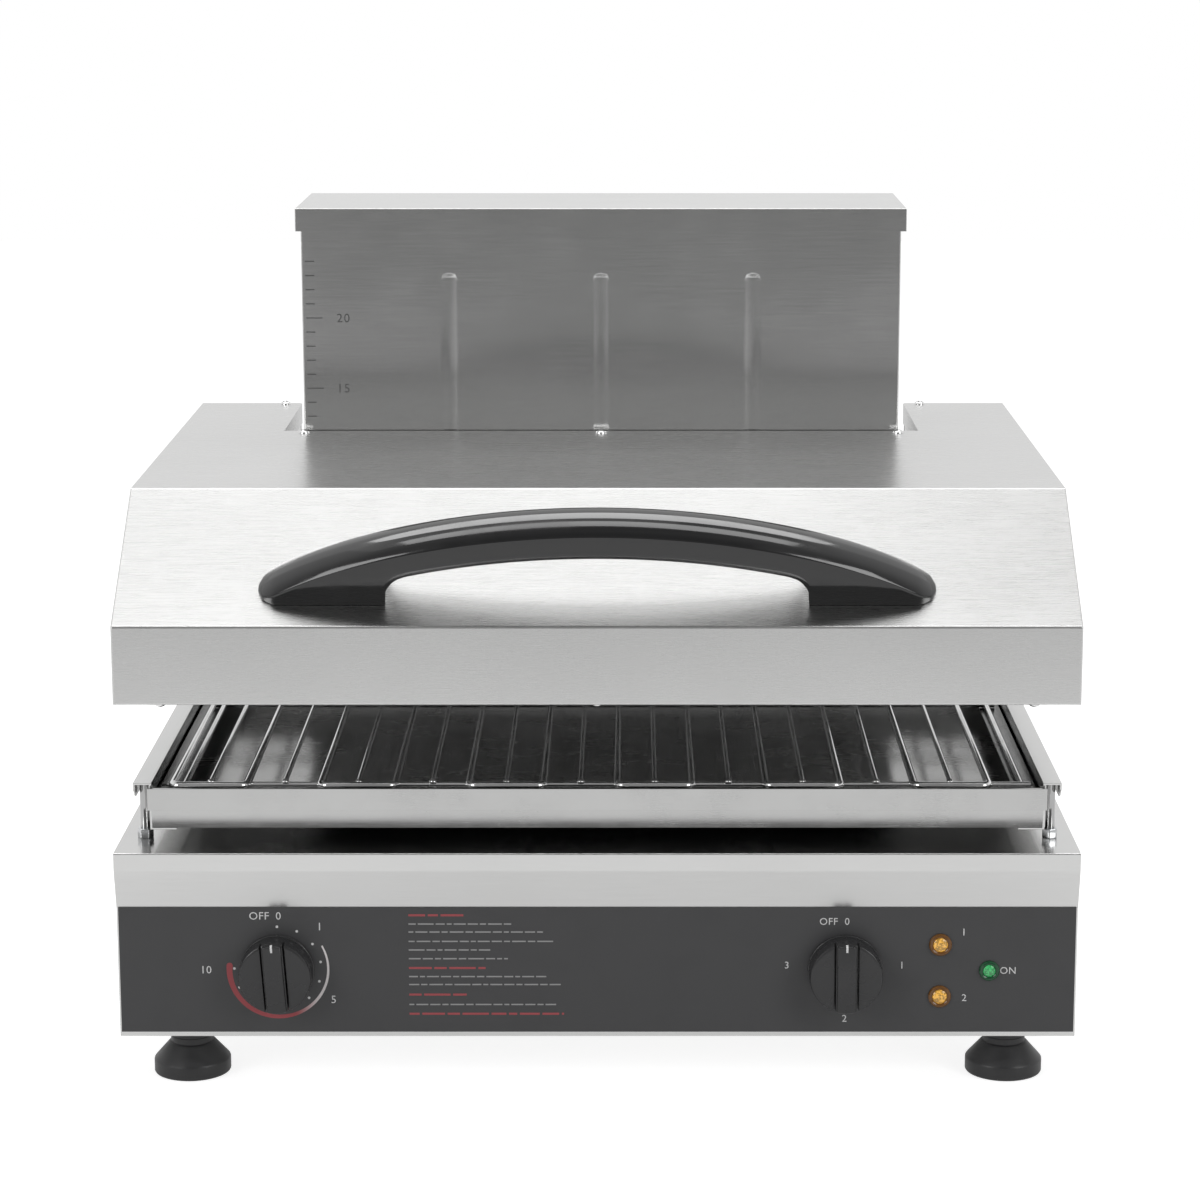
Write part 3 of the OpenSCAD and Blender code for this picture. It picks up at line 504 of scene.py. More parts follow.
def handling_marks():
    """Soft smudges and sparse specks of dust."""
    name = "Handling marks"
    if name in bpy.data.node_groups:
        return bpy.data.node_groups[name]
    tree, given, out = effect(
        name, [("Vector", "NodeSocketVector", None), ("Size", "NodeSocketFloat", 22.0)],
        ["Smudge", "Specks"])
    soft = noise(tree, given.outputs["Vector"], given.outputs["Size"], 4.0, 0.6)
    link(tree, ranged(tree, soft, 0.42, 0.72), out.inputs["Smudge"])
    dust = noise(tree, given.outputs["Vector"], 900.0, 1.0)
    link(tree, ranged(tree, dust, 0.71, 0.78), out.inputs["Specks"])
    return tree


def moulded_skin():
    """The fine texture of a moulding or a casting."""
    name = "Moulded skin"
    if name in bpy.data.node_groups:
        return bpy.data.node_groups[name]
    tree, given, out = effect(
        name, [("Vector", "NodeSocketVector", None), ("Grains", "NodeSocketFloat", 700.0)],
        ["Mottle", "Height"])
    link(tree, noise(tree, given.outputs["Vector"], given.outputs["Grains"], 2.0, 0.6),
         out.inputs["Height"])
    link(tree, noise(tree, given.outputs["Vector"], 30.0, 3.0), out.inputs["Mottle"])
    return tree


def placed(tree, group, vector, **sockets):
    node = add(tree, "ShaderNodeGroup", node_tree=group)
    link(tree, vector, node.inputs["Vector"])
    return put(node, **sockets)


def blended(tree, factor, one, two):
    """A colour between two colours."""
    node = add(tree, "ShaderNodeMix", data_type="RGBA")
    link(tree, factor, node.inputs["Factor"])
    node.inputs[6].default_value = (*one, 1)
    node.inputs[7].default_value = (*two, 1)
    return node.outputs[2]


def shade(colour, k):
    return tuple(min(1.0, c * k) for c in colour)


def start(name):
    """A new material with its tree, its shader and the object coordinates."""
    made = bpy.data.materials.new(name)
    made.use_nodes = True
    tree = made.node_tree
    shader = tree.nodes["Principled BSDF"]
    coords = add(tree, "ShaderNodeTexCoord").outputs["Object"]
    return made, tree, shader, coords


def raised(tree, shader, height, depth):
    bump = put(add(tree, "ShaderNodeBump"), Strength=1.0, Distance=depth * MM)
    link(tree, height, bump.inputs["Height"])
    link(tree, bump.outputs["Normal"], shader.inputs["Normal"])


def brushed_metal(name, colour, streaks=1500.0, rough=(0.18, 0.21), depth=0.004, marks=0.02):
    made, tree, shader, coords = start(name)
    grain = placed(tree, brushed_grain(), coords, Streaks=streaks)
    mark = placed(tree, handling_marks(), coords)
    tone = maths(tree, "ADD", maths(tree, "MULTIPLY", grain.outputs["Grain"], 0.6),
                 maths(tree, "MULTIPLY", grain.outputs["Cloud"], 0.4))
    link(tree, blended(tree, ranged(tree, tone, 0.3, 0.7), shade(colour, 0.97), shade(colour, 1.03)),
         shader.inputs["Base Color"])
    base = ranged(tree, grain.outputs["Grain"], 0.25, 0.75, rough[0], rough[1])
    link(tree, maths(tree, "ADD", base, maths(tree, "MULTIPLY", mark.outputs["Smudge"], marks)),
         shader.inputs["Roughness"])
    raised(tree, shader, grain.outputs["Height"], depth)
    put(shader, Metallic=1.0)
    return made


def painted_shade_on_ledges(made, inner, top, front):
    """Darkens the pan's inner ledges with painted shade, which stands in for the shade under the hood and the
    rack.
    """
    tree = made.node_tree
    shader = tree.nodes["Principled BSDF"]
    plain = shader.inputs["Base Color"].links[0].from_socket
    part = add(tree, "ShaderNodeSeparateXYZ")
    link(tree, add(tree, "ShaderNodeTexCoord").outputs["Object"], part.inputs[0])
    wide = maths(tree, "ABSOLUTE", part.outputs["X"])
    flat = maths(tree, "LESS_THAN", maths(tree, "ABSOLUTE", maths(
        tree, "SUBTRACT", part.outputs["Z"], top * MM)), 0.7 * MM)
    ledge_shade_mask = maths(tree, "MULTIPLY", ranged(tree, wide, (inner - 1) * MM, inner * MM), maths(
        tree, "MULTIPLY", flat, maths(tree, "GREATER_THAN", part.outputs["Y"], front * MM)))
    # painted shade: under the mask, the colour of the ledges is multiplied by a dark grey
    node = add(tree, "ShaderNodeMix", data_type="RGBA", blend_type="MULTIPLY")
    link(tree, ledge_shade_mask, node.inputs["Factor"])
    link(tree, plain, node.inputs[6])
    node.inputs[7].default_value = (0.2, 0.2, 0.2, 1)
    link(tree, node.outputs[2], shader.inputs["Base Color"])
    return made


def plain_metal(name, colour, rough=(0.15, 0.25), grains=500.0, depth=0.003):
    """Plated, drawn or cast metal, with fine pits and tone."""
    made, tree, shader, coords = start(name)
    skin = placed(tree, moulded_skin(), coords, Grains=grains)
    mark = placed(tree, handling_marks(), coords, Size=40.0)
    link(tree, blended(tree, ranged(tree, skin.outputs["Mottle"], 0.3, 0.7),
                       shade(colour, 0.9), shade(colour, 1.08)), shader.inputs["Base Color"])
    link(tree, ranged(tree, mark.outputs["Smudge"], 0.0, 1.0, rough[0], rough[1]),
         shader.inputs["Roughness"])
    raised(tree, shader, skin.outputs["Height"], depth)
    put(shader, Metallic=1.0)
    return made


def moulding(name, colour, rough=(0.3, 0.4), grains=700.0, depth=0.004, dust=0.4, coat=0.0,
             ior=1.5):
    """Moulded plastic or paint, with smudges and a little dust."""
    made, tree, shader, coords = start(name)
    skin = placed(tree, moulded_skin(), coords, Grains=grains)
    mark = placed(tree, handling_marks(), coords, Size=35.0)
    light = tuple(c + dust * 0.06 for c in colour)
    tone = maths(tree, "ADD", maths(tree, "MULTIPLY", mark.outputs["Specks"], 0.8),
                 ranged(tree, skin.outputs["Mottle"], 0.35, 0.75, 0.0, 0.12), clamp=True)
    link(tree, blended(tree, tone, colour, light), shader.inputs["Base Color"])
    link(tree, ranged(tree, mark.outputs["Smudge"], 0.0, 1.0, rough[0], rough[1]),
         shader.inputs["Roughness"])
    raised(tree, shader, skin.outputs["Height"], depth)
    put(shader, Coat_Weight=coat, Coat_Roughness=0.05, IOR=ior)
    return made


def ink(name, colour, fade=None):
    """Screen-printed ink, with a slightly uneven cover; it may fade to white towards +X."""
    made, tree, shader, coords = start(name)
    skin = placed(tree, moulded_skin(), coords, Grains=2500.0)
    cover = ranged(tree, skin.outputs["Height"], 0.3, 0.6)
    if fade:
        part = add(tree, "ShaderNodeSeparateXYZ")
        link(tree, coords, part.inputs[0])
        mix = add(tree, "ShaderNodeMix", data_type="RGBA")
        link(tree, ranged(tree, part.outputs["X"], fade[0] * MM, fade[1] * MM), mix.inputs["Factor"])
        link(tree, blended(tree, cover, shade(colour, 0.85), colour), mix.inputs[6])
        mix.inputs[7].default_value = (0.78, 0.74, 0.74, 1)
        link(tree, mix.outputs[2], shader.inputs["Base Color"])
    else:
        link(tree, blended(tree, cover, shade(colour, 0.85), colour), shader.inputs["Base Color"])
    put(shader, Roughness=0.5)
    return made


def lens_glow(name, colour):
    """Clear coloured plastic, with a painted glow: an emission that stands in for light scattered in its
    depth.
    """
    made, tree, shader, coords = start(name)
    skin = placed(tree, moulded_skin(), coords, Grains=700.0)
    tone = ranged(tree, skin.outputs["Height"], 0.4, 0.62)
    link(tree, blended(tree, tone, shade(colour, 0.55), shade(colour, 1.15)),
         shader.inputs["Base Color"])
    # painted glow: the lens emits its own colour, with no lamp behind it
    link(tree, blended(tree, tone, shade(colour, 0.12), shade(colour, 0.42)),
         shader.inputs["Emission Color"])
    put(shader, Roughness=0.12, Emission_Strength=1.0, Coat_Weight=0.6, Coat_Roughness=0.04)
    return made


def twisted_rope(name, colour):
    made, tree, shader, coords = start(name)
    turn = add(tree, "ShaderNodeMapping")
    link(tree, coords, turn.inputs["Vector"])
    turn.inputs["Rotation"].default_value = (0.0, 0.5, 0.5)
    strands = add(tree, "ShaderNodeTexWave", bands_direction="Z")
    link(tree, turn.outputs["Vector"], strands.inputs["Vector"])
    put(strands, Scale=160.0, Distortion=0.4)
    # painted shade: the grooves between the strands, low in the bump, are darker than the strands
    link(tree, blended(tree, strands.outputs["Fac"], shade(colour, 0.4), colour),
         shader.inputs["Base Color"])
    raised(tree, shader, strands.outputs["Fac"], 0.15)
    put(shader, Metallic=1.0, Roughness=0.35)
    return made


def woven_felt(name, colour):
    made, tree, shader, coords = start(name)
    skin = placed(tree, moulded_skin(), stretched(tree, coords, (0.3, 1.0, 1.0)), Grains=900.0)
    link(tree, blended(tree, skin.outputs["Height"], shade(colour, 0.7), shade(colour, 1.1)),
         shader.inputs["Base Color"])
    raised(tree, shader, skin.outputs["Height"], 0.4)
    put(shader, Roughness=0.95)
    return made


FINISHES = {}


def finishes():
    """Every finish of this grill by slot name, made once."""
    if FINISHES:
        return FINISHES
    scene = bpy.context.scene
    sheet, control = scene.grill_sheet, scene.grill_control
    steel = tuple(sheet.steel)
    FINISHES.update({
        "stainless_sheet": brushed_metal("stainless_sheet", steel, sheet.grain),
        "hood_steel": brushed_metal("hood_steel", steel, sheet.grain, (0.26, 0.29), 0.0022, 0.01),
        # the pan's inner ledges get painted shade
        "pan_steel": painted_shade_on_ledges(
            brushed_metal("pan_steel", shade(steel, 0.84), sheet.grain, (0.17, 0.24), 0.004, 0.08),
            262.0, 180.3, -213.0),
        "bright_wire": plain_metal("bright_wire", (0.80, 0.80, 0.80), (0.08, 0.16), 300.0, 0.002),
        "post_chrome": plain_metal("post_chrome", (0.42, 0.42, 0.42), (0.1, 0.16), 300.0, 0.002),
        "zinc_steel": plain_metal("zinc_steel", (0.60, 0.61, 0.62), (0.2, 0.34), 650.0, 0.006),
        "dark_steel": moulding("dark_steel", (0.05, 0.052, 0.055), (0.35, 0.5), 500.0, 0.01),
        "wire_rope": twisted_rope("wire_rope", (0.5, 0.5, 0.5)),
        "heating_tube": plain_metal("heating_tube", (0.13, 0.12, 0.115), (0.4, 0.6), 900.0, 0.01),
        "cast_weight": moulding("cast_weight", (0.06, 0.06, 0.062), (0.55, 0.7), 350.0, 0.12),
        "bush_bronze": plain_metal("bush_bronze", (0.55, 0.38, 0.18), (0.35, 0.5), 1200.0, 0.01),
        "pulley_nylon": moulding("pulley_nylon", (0.04, 0.04, 0.04), (0.4, 0.5)),
        "panel_print": moulding("panel_print", (0.052, 0.052, 0.054), (0.42, 0.5), 1400.0, 0.003, 0.15),
        "black_gloss": moulding(
            "black_gloss", tuple(scene.grill_handle.colour), (0.1, 0.2), 220.0, 0.002, 0.15, 0.5),
        "knob_skin": moulding("knob_skin", (0.026, 0.026, 0.027), (0.24, 0.34), 500.0, 0.004, 0.08),
        "black_moulding": moulding("black_moulding", (0.022, 0.022, 0.023), (0.38, 0.5), 600.0, 0.008),
        "lens_amber": lens_glow("lens_amber", tuple(control.amber)),
        "lens_green": lens_glow("lens_green", tuple(control.green)),
        "lens_amber_deep": moulding("lens_amber_deep", (0.16, 0.066, 0.012), (0.1, 0.16), 400.0, 0.002, 0.1),
        "lens_green_deep": moulding("lens_green_deep", (0.008, 0.075, 0.028), (0.1, 0.16), 400.0, 0.002, 0.1),
        "switch_plastic": moulding("switch_plastic", (0.5, 0.48, 0.42), (0.4, 0.5)),
        "mineral_felt": woven_felt("mineral_felt", (0.6, 0.55, 0.42)),
        "white_ink": ink("white_ink", tuple(control.white)),
        "grey_ink": ink("grey_ink", (0.36, 0.36, 0.36)),
        "red_ink": ink("red_ink", tuple(control.red)),
        "fading_ink": ink("fading_ink", tuple(control.red), (-190.0, -172.0)),
        "etched_mark": ink("etched_mark", (0.09, 0.09, 0.09)),
    })
    return FINISHES


# ---- folded sheets --------------------------------------------------------

def near(a, b, gap=0.15):
    return abs(a - b) < gap


def outer_hood_fold(c, e):
    """The outer folds of the hood: across its front, and along both of its sides."""
    ends = [v.co / MM for v in e.verts]

    def outline(p):
        on_slope = near(p.z, BEND_Z + (p.y - HOOD_Y) * math.tan(SLOPE_A), 0.3)
        return near(p.z, HOOD_TOP) or near(p.y, HOOD_Y) or (p.y < SLOPE_Y + 0.2 and on_slope)

    if all(near(abs(p.x), HALF_W) and outline(p) for p in ends) and not (
            near(ends[0].z, LIP_Z) and near(ends[1].z, LIP_Z)):
        return True
    across = near(ends[0].y, ends[1].y) and near(ends[0].z, ends[1].z)
    return across and (near(c.y, SLOPE_Y) and near(c.z, HOOD_TOP)
                       or near(c.y, HOOD_Y) and (near(c.z, BEND_Z) or near(c.z, LIP_Z)))


def top_fold(c, e):
    low, high = low_high("top_plate")
    ends = [v.co / MM for v in e.verts]
    across = near(ends[0].y, ends[1].y) and near(ends[0].z, ends[1].z) and not near(
        ends[0].x, ends[1].x)
    return across and near(c.y, low.y) and c.z > low.z + 10


def tower_fold(c, e):
    ends = [v.co / MM for v in e.verts]
    return near(abs(c.x), TOWER_X) and near(c.y, TOWER_Y) and not near(ends[0].z, ends[1].z)


def cap_fold(c, e):
    low, high = low_high("tower_cap")
    one, two = (v.co / MM for v in e.verts)
    on_side = near(one.x, two.x) and (near(one.x, low.x) or near(one.x, high.x))
    on_front = near(one.y, two.y) and (near(one.y, low.y) or near(one.y, high.y))
    on_top = near(one.z, high.z) and near(two.z, high.z)
    return on_side + on_front + on_top >= 2


def lean_wall(obj):
    """Leans the pan's front wall back a little below its folded band."""
    front, floor = low_high("drip_pan")[0].y, low_high("drip_pan")[0].z
    edit(obj)
    pick(obj, "VERT", lambda c, v: c.y < front + 3 and c.z < floor + 1.4)
    bpy.ops.transform.translate(value=(0, 2.2 * MM, 0))
    leave()


def flat_flanks(obj):
    """Gives the pressed grooves of the tower flat flanks instead of a round bottom."""
    half, deep, pitch, skin = 6.65, 1.3, 107.0, 1.2
    top = TOWER_TOP_GROOVE - half
    r = (half * half + deep * deep) / (2 * deep)
    for v in obj.data.vertices:
        c = v.co / MM
        if not (TOWER_Y + 0.01 < c.y < TOWER_Y + 3.2 and abs(c.x) < pitch + half + 2):
            continue
        aside = abs(c.x - pitch * round(c.x / pitch))
        away = math.hypot(aside, max(0.0, c.z - top))
        for grow in (0.0, skin):
            if away < half + grow and near(
                    c.y, TOWER_Y + deep - r + math.sqrt((r + grow) ** 2 - away ** 2), 0.12):
                flank = 0.176 * (half - max(1.1, aside if away < 0.95 * half else away))
                v.co.y = (TOWER_Y + grow + max(0.0, flank)) * MM
                break


class GRILL_OT_hood_cover(bpy.types.Operator):
    """Folds the brushed cover of the hood"""
    bl_idname = "grill.hood_cover"
    bl_label = "Hood cover"

    def execute(self, context):
        sheet, made = context.scene.grill_sheet, finishes()
        obj = from_node("hood_shell")
        fold(obj, sheet.fold, outer_hood_fold)
        soften(obj, sheet.edge)
        piece(obj, "folded_hood", "hood", "stainless_sheet", made["hood_steel"],
              "hood_shell", weighted=True)
        return {"FINISHED"}


class GRILL_OT_tower(bpy.types.Operator):
    """Folds the tower's front sheet and its cap"""
    bl_idname = "grill.tower"
    bl_label = "Tower"

    def execute(self, context):
        sheet, steel = context.scene.grill_sheet, finishes()["stainless_sheet"]
        obj = from_node("tower_shell", 0.2)
        edit(obj)
        for above in (4.0, 9.0):
            bpy.ops.mesh.select_all(action="SELECT")
            bpy.ops.mesh.bisect(plane_co=(0, 0, (TOWER_TOP_GROOVE - 6.65 - above) * MM),
                                plane_no=(0, 0, 1))
        leave()
        flat_flanks(obj)
        fold(obj, sheet.fold, tower_fold)
        piece(obj, "tower_front", "base", "stainless_sheet", steel, "tower_shell", weighted=True)
        obj = from_node("tower_cap")
        fold(obj, sheet.fold * 0.6, cap_fold)
        piece(obj, "folded_cap", "base", "stainless_sheet", steel, "tower_cap", weighted=True)
        return {"FINISHED"}


class GRILL_OT_base_sheets(bpy.types.Operator):
    """Folds the base's top plate, and copies the casing, panel plate, pan carrier, drip pan and the rear
    sheets of the tower and the hood, rounding the edges of all but the casing
    """
    bl_idname = "grill.base_sheets"
    bl_label = "Base and pan sheets"

    def execute(self, context):
        sheet, steel = context.scene.grill_sheet, finishes()["stainless_sheet"]
        obj = from_node("top_plate")
        fold(obj, sheet.fold * 0.8, top_fold)
        soften(obj, sheet.edge)
        piece(obj, "folded_top", "base", "stainless_sheet", steel, "top_plate", weighted=True)
        for node, name, body in (
                ("base_casing", "folded_casing", "base"), ("panel_plate", "front_plate", "base"),
                ("pan_carrier", "pan_rails", "base"), ("drip_pan", "folded_pan", "pan"),
                ("tower_back", "tower_rear_sheet", "base"), ("hood_back", "hood_rear_sheet", "hood")):
            obj = from_node(node)
            if node != "base_casing":
                soften(obj, sheet.edge * 1.6)
            if node == "drip_pan":
                lean_wall(obj)
            steel = finishes()["pan_steel" if node == "drip_pan" else "stainless_sheet"]
            piece(obj, name, body, "stainless_sheet", steel, node, weighted=True)
        return {"FINISHED"}


# ---- handle ---------------------------------------------------------------

def spread_stations(half, foot_start, cuts):
    """Places along the handle, closer together at the tips and at the feet."""
    tip = [half * (1 - 0.0008) - (half - foot_start - 0.5) * (i / 22) ** 1.7 for i in range(23)]
    foot = [foot_start + 0.35, foot_start - 0.35]
    fillet = [foot_start - 0.35 - 13 * (1 - math.cos(math.pi / 2 * i / 8)) for i in range(1, 9)]
    rest = cuts + 2 - 2 * (len(tip) + len(foot) + len(fillet))
    inner = fillet[-1]
    centre = [inner - (2 * inner) * (i + 1) / (rest + 1) for i in range(rest)]
    right = tip + foot + fillet
    return right + centre + [-x for x in reversed(right)]


# slope of the handle's face at places across its half width, from its lower to its upper side
FACE_SLOPES = ((-1.0, 0.62), (-0.53, 0.184), (-0.11, 0.06), (-0.06, -0.123), (0.42, -0.22),
               (0.5, -0.36), (1.0, -0.46))


class GRILL_OT_handle(bpy.types.Operator):
    """Sweeps the glossy bow handle along the slope of the hood"""
    bl_idname = "grill.handle"
    bl_label = "Bow handle"

    def execute(self, context):
        s = context.scene.grill_handle
        half, cuts, sides = s.length / 2 - 1.0, 139, 40
        foot_start = s.length / 2 - s.foot
        bpy.ops.mesh.primitive_cylinder_add(
            vertices=sides, radius=1, depth=2, end_fill_type="NGON", rotation=(0, math.pi / 2, 0))
        obj = fixed(bpy.context.object)
        edit(obj, "EDGE")
        pick(obj, "EDGE", lambda c, e: abs(e.verts[0].co.x - e.verts[1].co.x) > 1)
        bpy.ops.mesh.subdivide(number_cuts=cuts)
        leave()
        stations = spread_stations(half, foot_start, cuts)
        lean = Matrix.Rotation(SLOPE_A, 4, "X")
        rings = [self.section(s, x, half, foot_start, sides) for x in stations]
        for v in obj.data.vertices:
            ring = rings[round((v.co.x + 1) / 2 * (cuts + 1))]
            turn = math.atan2(v.co.z, v.co.y) / (2 * math.pi) * sides
            x, up, out = ring[round(turn) % sides]
            v.co = (lean @ Vector((-x, s.mid + up, out)) + Vector((0, HOOD_Y, BEND_Z))) * MM
        outwards(obj)
        piece(obj, "bow_handle", "hood", "black_gloss", finishes()["black_gloss"], "hood_handle",
              angle=50)
        return {"FINISHED"}

    def section(self, s, x, half, foot_start, sides):
        """The points of the handle's outline at x, from its upper side round over its face."""
        along = abs(x)
        top = s.reach * max(0.0, 1 - (x / (half + 1)) ** 2) ** 0.8
        wide, round_end = s.width / 2, 13.5
        if along > half - round_end:
            wide *= math.sqrt(max(0.0, 1 - ((along - half + round_end) / round_end) ** 2)) * 0.97 + 0.03
        low = 0.0
        if along < foot_start:
            fillet, low = 13.0, top - s.thick
            reach = along - (foot_start - fillet)
            if reach > 0:
                low -= fillet - math.sqrt(max(0.0, fillet ** 2 - reach ** 2))
        top = max(top, low + 1.5)
        crown = min(4.0, (top - low) * 0.45) / 4.0
        soft, hard = min(1.2, wide * 0.3), min(0.9, (top - 4 * crown - low) * 0.25, wide * 0.3)
        start = wide - soft
        top += 1.1 * crown
        upper = self.half_outline((0, 0.14, 0.28, 0.42, 0.5, 0.75, 1), top, low, start, crown, soft, hard)
        lower = self.half_outline((0, -0.06, -0.11, -0.3, -0.53, -0.75, -1), top, low, start, crown,
                                  soft, hard)
        ring = [(upper if j <= 10 or j > 30 else lower)[abs(10 - j) if j < 31 else 50 - j]
                for j in range(sides)]
        return [(x, u, o) for u, o in ring]

    def half_outline(self, places, top, low, start, crown, soft, hard):
        """The outline from the middle of the face to the middle of the underside."""
        side = 1 if places[-1] > 0 else -1
        points = [(start * abs(q), top + crown * start * self.swell(q)) for q in places]
        tilt = math.atan(0.62 * crown)
        shoulder = points[-1][1]
        radius = min(soft / (1 - math.sin(tilt)), (shoulder - low) * 0.5 / math.cos(tilt))
        for i in range(1, 6):
            a = tilt + (math.pi / 2 - tilt) * i / 5
            points.append((start + radius * (math.sin(a) - math.sin(tilt)),
                           shoulder - radius * (math.cos(tilt) - math.cos(a))))
        wide, last = points[-1]
        points += [(wide, last - (last - low - hard) * k) for k in (0.35, 0.7, 1.0)]
        points += [(wide - hard * (1 - math.cos(a)), low + hard * (1 - math.sin(a)))
                   for a in (math.pi / 6, math.pi / 3, math.pi / 2)]
        points += [((wide - hard) * k, low) for k in (0.6, 0.25, 0.0)]
        return [(side * u, o) for u, o in points]

    def swell(self, place):
        """Height of the face across its half width, from its slopes: two facets and a soft line."""
        total, steps = 0.0, 40
        for i in range(steps):
            q = place * (i + 0.5) / steps
            for (a, one), (b, two) in zip(FACE_SLOPES, FACE_SLOPES[1:]):
                if q <= b:
                    total += (one + (two - one) * (q - a) / (b - a)) * place / steps
                    break
        return total


# ---- screws and nuts ------------------------------------------------------

def cross_screw(radius=3.8, height=2.4):
    """A domed screw head with a cross recess, standing on the origin."""
    obj = turned([(radius * 0.98, -0.3), (radius, 0.0), (radius, height * 0.22),
                  (radius * 0.93, height * 0.45), (radius * 0.76, height * 0.7),
                  (radius * 0.5, height * 0.9), (radius * 0.2, height)], 32)
    arm, half = radius * 0.62, radius * 0.13
    cutters = [block(-arm, arm, -half, half, height * 0.45, height + 1),
               block(-half, half, -arm, arm, height * 0.45, height + 1)]
    for cutter in cutters:
        apply_modifier(obj, "BOOLEAN", object=cutter, operation="DIFFERENCE", solver="EXACT")
    drop(*cutters)
    return obj


def hex_nut(across, height):
    """A hexagon nut with softened corners, standing on the origin."""
    bpy.ops.mesh.primitive_cylinder_add(
        vertices=6, radius=across / math.sqrt(3) * MM, depth=height * MM,
        location=(0, 0, height / 2 * MM), rotation=(0, 0, math.pi / 6))
    obj = fixed(bpy.context.object)
    soften(obj, 0.55, 3)
    return obj


def set_down(base, places, turn=None):
    """Copies of a shape at places in millimetres, turned first, joined into one."""
    turn = turn or Matrix.Identity(4)
    return joined([copy_at(base, Matrix.Translation(Vector(p) * MM) @ turn @
                           Matrix.Rotation(0.7 * i, 4, "Z")) for i, p in enumerate(places)])


class GRILL_OT_screws(bpy.types.Operator):
    """Sets the domed screws of the hood, its lip and the tower"""
    bl_idname = "grill.screws"
    bl_label = "Screws"

    def execute(self, context):
        zinc = finishes()["zinc_steel"]
        bright = finishes()["bright_wire"]
        base = cross_screw()
        low, high = low_high("hood_screws")
        front, wide, head = low.y + 3.8, high.x - 3.8, 3.8
        hood = [(0, front, HOOD_TOP), (-210, front, HOOD_TOP), (210, front, HOOD_TOP),
                (-wide, high.y - head, HOOD_TOP), (wide, high.y - head, HOOD_TOP)]
        piece(set_down(base, hood), "hood_cover_screws", "hood", "zinc_steel", bright,
              "hood_screws", angle=40)
        low, high = low_high("lip_screws")
        lip = [(x, low.y + head, LIP_Z) for x in (low.x + head, 0, high.x - head)]
        piece(set_down(base, lip, Matrix.Rotation(math.pi, 4, "X")), "hood_lip_screws", "hood",
              "zinc_steel", bright, "lip_screws", angle=40)
        low, high = low_high("tower_screws")
        levels = (low.z + head, 311.0, high.z - head)
        rear = [(x, TOWER_REAR, z) for x in (low.x + head, high.x - head) for z in levels]
        piece(set_down(base, rear, Matrix.Rotation(-math.pi / 2, 4, "X")), "tower_rear_screws",
              "base", "zinc_steel", zinc, "tower_screws", angle=40)
        drop(base)
        return {"FINISHED"}


class GRILL_OT_posts(bpy.types.Operator):
    """Stands the carrier's posts in their nuts"""
    bl_idname = "grill.posts"
    bl_label = "Posts and nuts"

    def execute(self, context):
        low, high = low_high("rack_posts")
        xs, ys = (low.x + 3, high.x - 3), (low.y + 3, high.y - 3)
        places = [(x, y) for x in xs for y in ys]
        post = turned([(2.6, low.z), (3.0, low.z + 0.6), (3.0, high.z)], 24)
        piece(set_down(post, [(x, y, 0) for x, y in places]), "carrier_posts", "base",
              "bright_wire", finishes()["post_chrome"], "rack_posts", angle=40)
        nut_low, nut_high = low_high("post_nuts")
        nut = hex_nut(2 * 5.2 * math.cos(math.pi / 6), 6)
        under = hex_nut(2 * 5.2 * math.cos(math.pi / 6), 5)
        top = set_down(nut, [(x, y, nut_high.z - 6) for x, y in places])
        bottom = set_down(under, [(x, y, nut_low.z) for x, y in places])
        piece(joined([top, bottom]), "carrier_post_nuts", "base", "zinc_steel",
              finishes()["zinc_steel"], "post_nuts", angle=40)
        drop(post, nut, under)
        return {"FINISHED"}


# ---- rack -----------------------------------------------------------------

def corner(x, y, dx, dy, r, z, steps=5):
    """Points of a quarter bend whose outer corner is (x, y); it comes in along Y."""
    points = []
    for i in range(steps + 1):
        a = math.pi / 2 * i / steps
        points.append((x + dx * r * (1 - math.cos(a)), y + dy * r * (1 - math.sin(a)), z))
    return points


